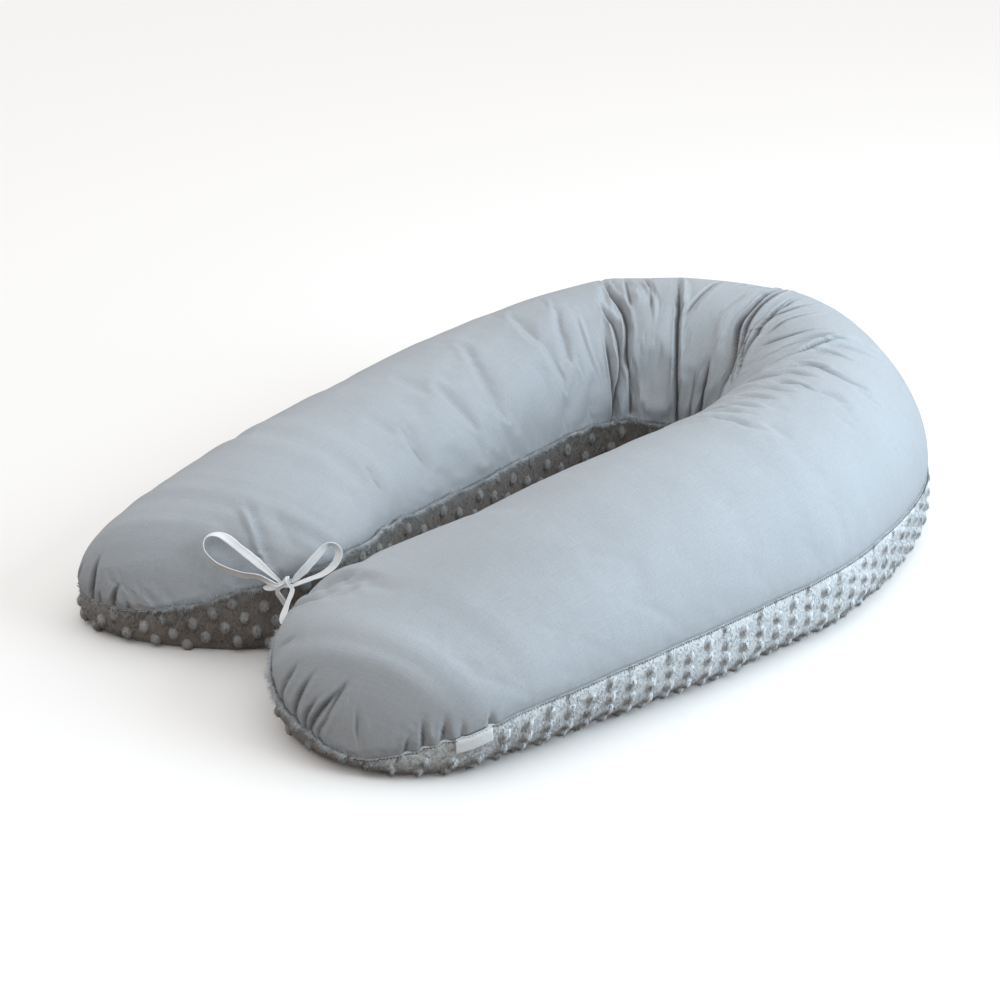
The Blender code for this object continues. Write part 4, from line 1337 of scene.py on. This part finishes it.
def tape(name, route, start_across, seed):
    """A flat tape along its route, with folded edges and the small waves of soft cloth."""
    table = np.array(route, float)
    before, after = 2 * table[0] - table[1], 2 * table[-1] - table[-2]
    coarse = np.linspace(0, len(table) - 1, (len(table) - 1) * ROUTE_STEPS + 1)
    at = np.linspace(0, len(table) - 1, (len(table) - 1) * ROUTE_STEPS * FINER + 1)
    axes = bow_axes()
    rows = smooth_through(table, before, after, coarse)
    ahead = unit(np.gradient(rows[:, :3] @ axes, axis=0))
    across_tape = np.array(start_across) @ axes
    turned = []
    for way, row in zip(ahead, rows):
        across_tape = unit(across_tape - way * (across_tape @ way))
        twist = math.radians(row[4])
        turned.append(math.cos(twist) * across_tape + math.sin(twist) * np.cross(way, across_tape))
    turned = np.array(turned)
    rows = smooth_through(table, before, after, at)
    middle = KNOT + rows[:, :3] / 1000 @ axes
    ahead = unit(np.gradient(middle, axis=0))
    turned = along_line(turned, at * ROUTE_STEPS)
    turned = unit(turned - ahead * (turned * ahead).sum(axis=1, keepdims=True))
    reach = run_lengths(middle)
    soft = np.clip((rows[:, 3] - 0.5) * 3, 0, 1)  # it doesn't wave where the knot holds it
    waved = rumple(reach / TAPE_WAVE, np.zeros_like(reach), seed) * soft
    edge_wave = rumple(reach / EDGE_WAVE, np.ones_like(reach), seed + 1) * soft
    sides, lifts = TAPE_ROUND[:, :1], TAPE_ROUND[:, 1:]
    rings, uv = [], []
    for k in range(len(at)):
        twist = math.radians(TAPE_TWIST * waved[k])
        wide = math.cos(twist) * turned[k] + math.sin(twist) * np.cross(ahead[k], turned[k])
        thick = np.cross(ahead[k], wide)
        half = rows[k, 3] * TAPE_WIDTH / 2 * (1 + 0.05 * edge_wave[k])
        puckered = TAPE_HALF * (1 + 0.9 * (1 - soft[k]))
        rings.append(middle[k] + sides * half * wide + lifts * puckered * thick)
        uv.append(np.column_stack([np.full(len(sides), reach[k]), sides[:, 0] * TAPE_WIDTH / 2]))
    first, last = (np.tile(end, (len(sides), 1)) for end in middle[[0, -1]])
    rings = np.array([first, *rings, last])
    uv = np.array([uv[0], *uv, uv[-1]])
    edge = np.tile(np.abs(sides[:, 0]), (len(rings), 1))
    return grid_object(name, rings, round_it=True, outward=-1, uv=uv, values={"edge": edge})


# ---------------------------------------------------------------- the label

LABEL_SECTIONS = (12.49, 12.97)
LABEL_HEIGHT = 0.0138
LABEL_LIFT = 0.0016  # of its back from the plush's plain surface
LABEL_HALF = 0.00045
LABEL_COLUMNS = 41
LABEL_STEPS = 8  # steps down the label's face
LABEL_FLARE = 0.0022  # how far its fold stands off, beyond its top
LABEL_TUCK = 0.0016  # how far its top is drawn into the seam
LABEL_WAVE = 0.0003
LABEL_DROPS = np.array([-0.08, 0.0, 0.1, 0.25, 0.4, 0.55, 0.7, 0.85, 0.95, 0.985])


def bare_label():
    """The folded woven label that hangs from the outer seam over the plush, with nothing on it."""
    numbers = np.linspace(*LABEL_SECTIONS, LABEL_COLUMNS)
    fine = np.linspace(0, 90, 91)
    face = []
    for number in numbers:
        side = belly(np.full(len(fine), number), fine)
        reach = run_lengths(side)
        drops = np.linspace(0, LABEL_HEIGHT, LABEL_STEPS + 1)
        face.append([[np.interp(drop, reach, side[:, k]) for k in range(3)] for drop in drops])
    face = np.array(face)
    normals = unit(np.cross(np.gradient(face, axis=0), np.gradient(face, axis=1)))
    run = run_lengths(face[:, 0])
    share = run / run[-1]
    wave = LABEL_WAVE * np.sin(share * 5)
    drops = np.concatenate([LABEL_DROPS, [1.0], LABEL_DROPS[::-1]])
    front = np.ones(len(LABEL_DROPS))
    sides = np.concatenate([front, [0.0], -front])
    rings, uv = [], []
    for k in range(LABEL_COLUMNS):
        ring, flat = [], []
        for drop, side in zip(drops, sides):
            at = np.clip(drop, 0, 1) * LABEL_STEPS
            low = int(min(at, LABEL_STEPS - 1))
            spot = face[k, low] * (1 - at + low) + face[k, low + 1] * (at - low)
            normal = normals[k, low]
            if drop < 0:
                spot = spot + (face[k, 0] - face[k, 1]) * (-drop * LABEL_STEPS)
            lift = LABEL_LIFT + LABEL_HALF + side * LABEL_HALF * min(1, (1.02 - drop) * 9)
            lift += wave[k] * (1 - 0.4 * drop) + LABEL_FLARE * drop
            tuck = -LABEL_TUCK * bump_at(drop, 0, 0.10)
            ring.append(spot + normal * (lift + tuck))
            flat.append((run[k], drop * LABEL_HEIGHT * side))
        rings.append(ring)
        uv.append(flat)
    rings = np.array(rings)
    first, last = rings[:1].mean(axis=1, keepdims=True), rings[-1:].mean(axis=1, keepdims=True)
    ends = np.ones((1, rings.shape[1], 1))
    rings = np.concatenate([first * ends, rings, last * ends])
    uv = np.array([uv[0], *uv, uv[-1]])
    return grid_object("bare_label", rings, round_it=True, outward=-1, uv=uv)


# ---------------------------------------------------------------- materials


def new_material(name):
    finish = bpy.data.materials.new(name)
    finish.use_nodes = True
    return finish.node_tree, finish.node_tree.nodes["Principled BSDF"], finish


def fill_sockets(tree, node, sockets):
    for key, value in sockets.items():
        if isinstance(value, bpy.types.NodeSocket):
            tree.links.new(value, node.inputs[key])
        else:
            node.inputs[key].default_value = value


def add_node(tree, kind, sockets=None, **settings):
    """A node with its settings and its sockets, each a value or another node's output."""
    node = tree.nodes.new(kind)
    for key, value in settings.items():
        setattr(node, key, value)
    fill_sockets(tree, node, sockets or {})
    return node


def math_node(tree, operation, *values):
    node = tree.nodes.new("ShaderNodeMath")
    node.operation = operation
    fill_sockets(tree, node, dict(enumerate(values)))
    return node.outputs[0]


def noise(tree, vector, scale, detail=2.0, roughness=0.5):
    return add_node(
        tree, "ShaderNodeTexNoise",
        {"Vector": vector, "Scale": scale, "Detail": detail, "Roughness": roughness},
    ).outputs["Fac"]


def stretched(tree, vector, scale):
    return add_node(
        tree, "ShaderNodeVectorMath", {0: vector, 1: scale}, operation="MULTIPLY",
    ).outputs[0]


def ramp(tree, factor, *stops):
    node = add_node(tree, "ShaderNodeValToRGB", {"Fac": factor})
    elements = node.color_ramp.elements
    while len(elements) < len(stops):
        elements.new(0.5)
    for element, (position, colour) in zip(elements, stops):
        element.position = position
        element.color = (*colour, 1)
    return node.outputs["Color"]


def mixed(tree, factor, first, second, blend="MIX"):
    return add_node(
        tree, "ShaderNodeMix", {0: factor, 6: first, 7: second},
        data_type="RGBA", blend_type=blend,
    ).outputs[2]


def tinted(tree, colour, tint):
    return mixed(tree, 1.0, colour, tint, "MULTIPLY")


def cloth_map(tree):
    return add_node(tree, "ShaderNodeUVMap", uv_map="cloth").outputs[0]


def object_place(tree):
    return add_node(tree, "ShaderNodeTexCoord").outputs["Object"]


def attribute(tree, name):
    return add_node(tree, "ShaderNodeAttribute", attribute_name=name).outputs["Fac"]


def new_group(name, inputs, outputs):
    group = bpy.data.node_groups.new(name, "ShaderNodeTree")
    for key, kind in inputs:
        group.interface.new_socket(key, in_out="INPUT", socket_type="NodeSocket" + kind)
    for key, kind in outputs:
        group.interface.new_socket(key, in_out="OUTPUT", socket_type="NodeSocket" + kind)
    return group, group.nodes.new("NodeGroupInput").outputs, group.nodes.new("NodeGroupOutput")


def weave_group():
    """A plain weave: threads one pitch apart that pass over and under each other."""
    group, given, out = new_group(
        "plain_weave", (("Vector", "Vector"), ("Pitch", "Float")),
        (("Height", "Float"), ("Yarn", "Float")),
    )
    scaled = add_node(
        group, "ShaderNodeVectorMath",
        {0: given["Vector"], "Scale": math_node(group, "DIVIDE", math.pi, given["Pitch"])},
        operation="SCALE",
    ).outputs[0]
    parts = add_node(group, "ShaderNodeSeparateXYZ", {0: scaled}).outputs
    warp = math_node(group, "SINE", parts[0])
    weft = math_node(group, "SINE", parts[1])
    over = math_node(group, "GREATER_THAN", math_node(group, "MULTIPLY", warp, weft), 0.0)
    warp, weft = math_node(group, "ABSOLUTE", warp), math_node(group, "ABSOLUTE", weft)
    lifted = math_node(group, "MULTIPLY", warp, over)
    under = math_node(group, "MULTIPLY", weft, math_node(group, "SUBTRACT", 1.0, over))
    fill_sockets(group, out, {"Height": math_node(group, "ADD", lifted, under)})
    along = noise(group, stretched(group, given["Vector"], (30, 900, 1)), 1.0)
    across_it = noise(group, stretched(group, given["Vector"], (900, 30, 1)), 1.0)
    fill_sockets(group, out, {"Yarn": math_node(
        group, "MULTIPLY", math_node(group, "ADD", along, across_it), 0.5)})
    return group


def placed(tree, group, **sockets):
    node = tree.nodes.new("ShaderNodeGroup")
    node.node_tree = group
    fill_sockets(tree, node, sockets)
    return node.outputs


def bump(tree, height, distance, strength=1.0, normal=None):
    node = add_node(
        tree, "ShaderNodeBump", {"Height": height, "Distance": distance, "Strength": strength},
    )
    if normal is not None:
        fill_sockets(tree, node, {"Normal": normal})
    return node.outputs[0]


def cotton_finish(weave):
    tree, shader, finish = new_material("cotton_grey")
    cloth = cloth_map(tree)
    place_on = object_place(tree)
    woven = placed(tree, weave, Vector=cloth, Pitch=0.00055)
    cloudy = noise(tree, place_on, 9.0, 3.0)
    colour = ramp(tree, cloudy, (0.30, (0.400, 0.430, 0.460)), (0.70, (0.430, 0.464, 0.498)))
    yarn = ramp(tree, woven["Yarn"], (0.34, (0.935, 0.935, 0.94)), (0.66, (1.035, 1.035, 1.03)))
    colour = tinted(tree, colour, yarn)
    fine = noise(tree, place_on, 900.0, 1.0)
    grain = ramp(tree, fine, (0.32, (0.91, 0.91, 0.91)), (0.68, (1.06, 1.06, 1.06)))
    colour = tinted(tree, colour, grain)
    # Painted shade: the deep folds are darker and warmer.
    painted_fold_shade = ramp(tree, attribute(tree, "fold_depth"), (0.0, (1, 1, 1)), (1.0, (0.79, 0.76, 0.74)))
    colour = tinted(tree, colour, painted_fold_shade)
    # Painted shade: a dark line along each crease.
    painted_crease_shade = ramp(tree, attribute(tree, "crease"), (0.12, (1, 1, 1)), (1.0, (0.38, 0.35, 0.34)))
    colour = tinted(tree, colour, painted_crease_shade)
    creases = noise(tree, stretched(tree, cloth, (60, 14, 1)), 1.0, 3.0, 0.55)
    normal = bump(tree, creases, 0.0012, 0.35)
    normal = bump(tree, woven["Yarn"], 0.0004, 0.22, normal)
    normal = bump(tree, woven["Height"], 0.00012, 0.5, normal)
    fill_sockets(tree, shader, {
        "Base Color": colour, "Normal": normal, "Roughness": 0.82,
        "Sheen Weight": 0.18, "Sheen Roughness": 0.5, "Specular IOR Level": 0.3,
    })
    return finish


# The pile's colours from its darkest tone to its lightest. The warm brown dark end is painted
# shade, warmed as the floor's bounce, as well as the pile's dark roots.
PILE_DARK = (0.20, 0.165, 0.14)
PILE_MIDDLE = (0.44, 0.46, 0.47)
PILE_LIGHT = (0.78, 0.82, 0.85)


def pile_finish(name, fibre_share):
    """The plush's pile: its tone is the piece's tone attribute, which holds painted light and shade
    with the pile's own shades, and fibres, clumps and patches go over it.
    """
    tree, shader, finish = new_material(name)
    place_on = object_place(tree)
    fibres = noise(tree, stretched(tree, place_on, (900, 900, 300)), 1.0, 2.0, 0.6)
    clumps = noise(tree, place_on, 260.0, 2.0, 0.6)
    patches = noise(tree, place_on, 30.0, 2.0)
    level = attribute(tree, "tone")
    for value, amount in ((fibres, fibre_share), (clumps, 0.20), (patches, 0.12)):
        part = math_node(tree, "MULTIPLY", math_node(tree, "SUBTRACT", value, 0.5), amount)
        level = math_node(tree, "ADD", level, part)
    colour = ramp(tree, level, (0.0, PILE_DARK), (0.42, PILE_MIDDLE), (0.92, PILE_LIGHT))
    normal = bump(tree, clumps, 0.0014, 0.6)
    normal = bump(tree, fibres, 0.0007, 0.7, normal)
    fill_sockets(tree, shader, {
        "Base Color": colour, "Normal": normal, "Roughness": 0.95,
        "Sheen Weight": 0.35, "Sheen Roughness": 0.5, "Sheen Tint": (0.93, 0.97, 1, 1),
        "Specular IOR Level": 0.2,
    })
    return finish


def thread_finish():
    """Polyester thread with its twist."""
    tree, shader, finish = new_material("thread_dark")
    place_on = object_place(tree)
    twist = noise(tree, place_on, 2600.0, 1.0)
    colour = ramp(tree, twist, (0.3, (0.022, 0.032, 0.046)), (0.7, (0.055, 0.074, 0.098)))
    normal = bump(tree, twist, 0.0002, 0.5)
    fill_sockets(tree, shader, {"Base Color": colour, "Normal": normal, "Roughness": 0.55})
    return finish


def label_finish():
    """Satin ribbon: fine ribs along it."""
    tree, shader, finish = new_material("label_white")
    cloth = cloth_map(tree)
    ribs = noise(tree, stretched(tree, cloth, (350, 5200, 1)), 1.0, 1.0)
    worn = noise(tree, stretched(tree, cloth, (220, 220, 1)), 1.0, 3.0)
    colour = ramp(tree, worn, (0.3, (0.66, 0.69, 0.70)), (0.75, (0.78, 0.81, 0.82)))
    rib = ramp(tree, ribs, (0.3, (0.95, 0.95, 0.95)), (0.7, (1, 1, 1)))
    colour = tinted(tree, colour, rib)
    normal = bump(tree, ribs, 0.0002, 0.4)
    normal = bump(tree, worn, 0.0006, 0.3, normal)
    fill_sockets(tree, shader, {
        "Base Color": colour, "Normal": normal, "Roughness": 0.5, "Sheen Weight": 0.1,
    })
    return finish


def tape_finish(weave):
    tree, shader, finish = new_material("tape_white")
    cloth = cloth_map(tree)
    woven = placed(tree, weave, Vector=cloth, Pitch=0.0007)
    colour = ramp(tree, woven["Yarn"], (0.3, (0.86, 0.88, 0.90)), (0.7, (0.93, 0.95, 0.96)))
    folded = ramp(
        tree, attribute(tree, "edge"), (0.50, (0.94, 0.94, 0.94)), (0.60, (0.84, 0.85, 0.87)),
        (0.70, (1, 1, 1)),
    )
    colour = tinted(tree, colour, folded)
    normal = bump(tree, woven["Yarn"], 0.0004, 0.4)
    normal = bump(tree, woven["Height"], 0.0002, 0.6, normal)
    fill_sockets(tree, shader, {
        "Base Color": colour, "Normal": normal, "Roughness": 0.8, "Sheen Weight": 0.15,
    })
    return finish


# ---------------------------------------------------------------- the room

FLOOR_SEEN = (0.95, 0.93, 0.91)
FLOOR_BOUNCE = (0.15, 0.102, 0.068)  # the darker, warmer light that the floor sends back
ROOM = {"strength": 0.58, "colour": (1.0, 0.99, 0.98)}
CEILING = {"from": (-0.12, 0.18, 1.0), "strength": 1.20, "wide": 110,
           "colour": (0.97, 0.985, 1.0)}
WINDOW = {"at": (1.78, 0.78, 0.86), "aims_at": (0.1, 0.0, 0.1), "power": 46, "size": 1.6,
          "colour": (0.72, 0.88, 1.0)}


def floor_finish():
    """A pale floor that lights the pillow from below as a darker, warmer one would."""
    tree, shader, finish = new_material("pale_floor")
    looked_at = add_node(tree, "ShaderNodeLightPath").outputs["Is Camera Ray"]
    colour = mixed(tree, looked_at, (*FLOOR_BOUNCE, 1), (*FLOOR_SEEN, 1))
    fill_sockets(tree, shader, {
        "Base Color": colour, "Roughness": 0.95, "Specular IOR Level": 0.0,
    })
    return finish


def room():
    bpy.ops.mesh.primitive_plane_add(size=40, location=(0, 0, 0))
    floor = bpy.context.object
    floor.name = "floor"
    floor.data.materials.append(floor_finish())
    world = bpy.data.worlds.new("studio")
    world.use_nodes = True
    background = world.node_tree.nodes["Background"]
    background.inputs["Color"].default_value = (*ROOM["colour"], 1)
    background.inputs["Strength"].default_value = ROOM["strength"]
    bpy.context.scene.world = world
    ceiling = bpy.data.lights.new("ceiling", "SUN")
    ceiling.energy = CEILING["strength"]
    ceiling.angle = math.radians(CEILING["wide"])
    ceiling.color = CEILING["colour"]
    hang("ceiling", ceiling, CEILING["from"], (0, 0, 0))
    window = bpy.data.lights.new("window", "AREA")
    window.energy = WINDOW["power"]
    window.size = WINDOW["size"]
    window.color = WINDOW["colour"]
    hang("window", window, WINDOW["at"], WINDOW["aims_at"])


def hang(name, light, at, aims_at):
    """Puts a light at its place, turned to where it aims. The camera doesn't see it."""
    holder = bpy.data.objects.new(name, light)
    holder.location = at
    holder.rotation_euler = (Vector(at) - Vector(aims_at)).to_track_quat("Z", "Y").to_euler()
    holder.visible_camera = False
    bpy.context.scene.collection.objects.link(holder)


CAMERA_PLACE = (1.5878, -1.7045, 1.1720)
CAMERA_BACK = (0.63428, -0.64320, 0.42894)
CAMERA_LENS = 80.5


def camera():
    view = bpy.data.cameras.new("photo_view")
    view.lens = CAMERA_LENS
    view.sensor_width = 36
    holder = bpy.data.objects.new("photo_view", view)
    holder.location = CAMERA_PLACE
    holder.rotation_euler = (-Vector(CAMERA_BACK)).to_track_quat("-Z", "Y").to_euler()
    bpy.context.scene.collection.objects.link(holder)
    bpy.context.scene.camera = holder


# ---------------------------------------------------------------- putting it together

bpy.ops.object.select_all(action="DESELECT")
bpy.context.scene.view_settings.view_transform = "Standard"
camera()
room()
weave = weave_group()

cotton, cotton_rows = cotton_panel()
cotton.data.materials.append(cotton_finish(weave))
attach(cotton, "root")
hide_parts("cotton_top_panel")

plush, belly_grid = plush_body()
pile = pile_finish("plush_grey", 0.40)
plush.data.materials.append(pile)
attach(plush, "root")
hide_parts("plush_body")

dots = dots_over(belly_grid["rings"], belly_grid["girths"], belly_grid["rows"])
raised = plush_dots(dots)
rings = belly_grid["rings"]
outer_side = (0, SIDE_COLUMNS)
inner_side = (SIDE_COLUMNS + UNDER_COLUMNS, 2 * SIDE_COLUMNS + UNDER_COLUMNS - 1)
near_leg = 1 + 1.4 * (rings > 7.0)  # the pile is closer where it is seen
far_leg = 1 + 2.0 * (rings < 6.8)
outer_pile = pile_over("outer_pile", belly_grid, dots, 42000, outer_side, near_leg, 21)
inner_pile = pile_over("inner_pile", belly_grid, dots, 22000, inner_side, far_leg, 22)
outer_fringe = seam_fringe(
    cotton_rows, "outer_seam_pile", which=0, count=9000, start=-0.0006, length=0.0026,
    rise=-0.7, lightness=0.76, seed=31,
)
inner_fringe = seam_fringe(
    cotton_rows, "inner_seam_pile", which=1, count=22000, start=0.0012, length=0.0076,
    rise=0.85, lightness=0.86, seed=32,
)
loose_pile = pile_finish("pile_grey", 0.20)
for piece, finish in (
    (raised, pile), (outer_pile, loose_pile), (inner_pile, loose_pile),
    (outer_fringe, loose_pile), (inner_fringe, loose_pile),
):
    piece.data.materials.append(finish)
    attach(piece, "root")

stitches = seam_stitches(cotton_rows)
stitches.data.materials.append(thread_finish())
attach(stitches, "root")

tape_cloth = tape_finish(weave)
for name, node, route, start, length, seed in (
    ("far_bow_tape", "far_tie_tape", FAR_TAPE_ROUTE, FAR_TAPE_START, 0.267, 41),
    ("near_bow_tape", "near_tie_tape", NEAR_TAPE_ROUTE, NEAR_TAPE_START, 0.249, 43),
):
    piece = tape(name, route, start, seed)
    piece.data.materials.append(tape_cloth)
    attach(piece, "root")
    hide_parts(node)

label = bare_label()
label.data.materials.append(label_finish())
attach(label, "root")
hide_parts("side_label")
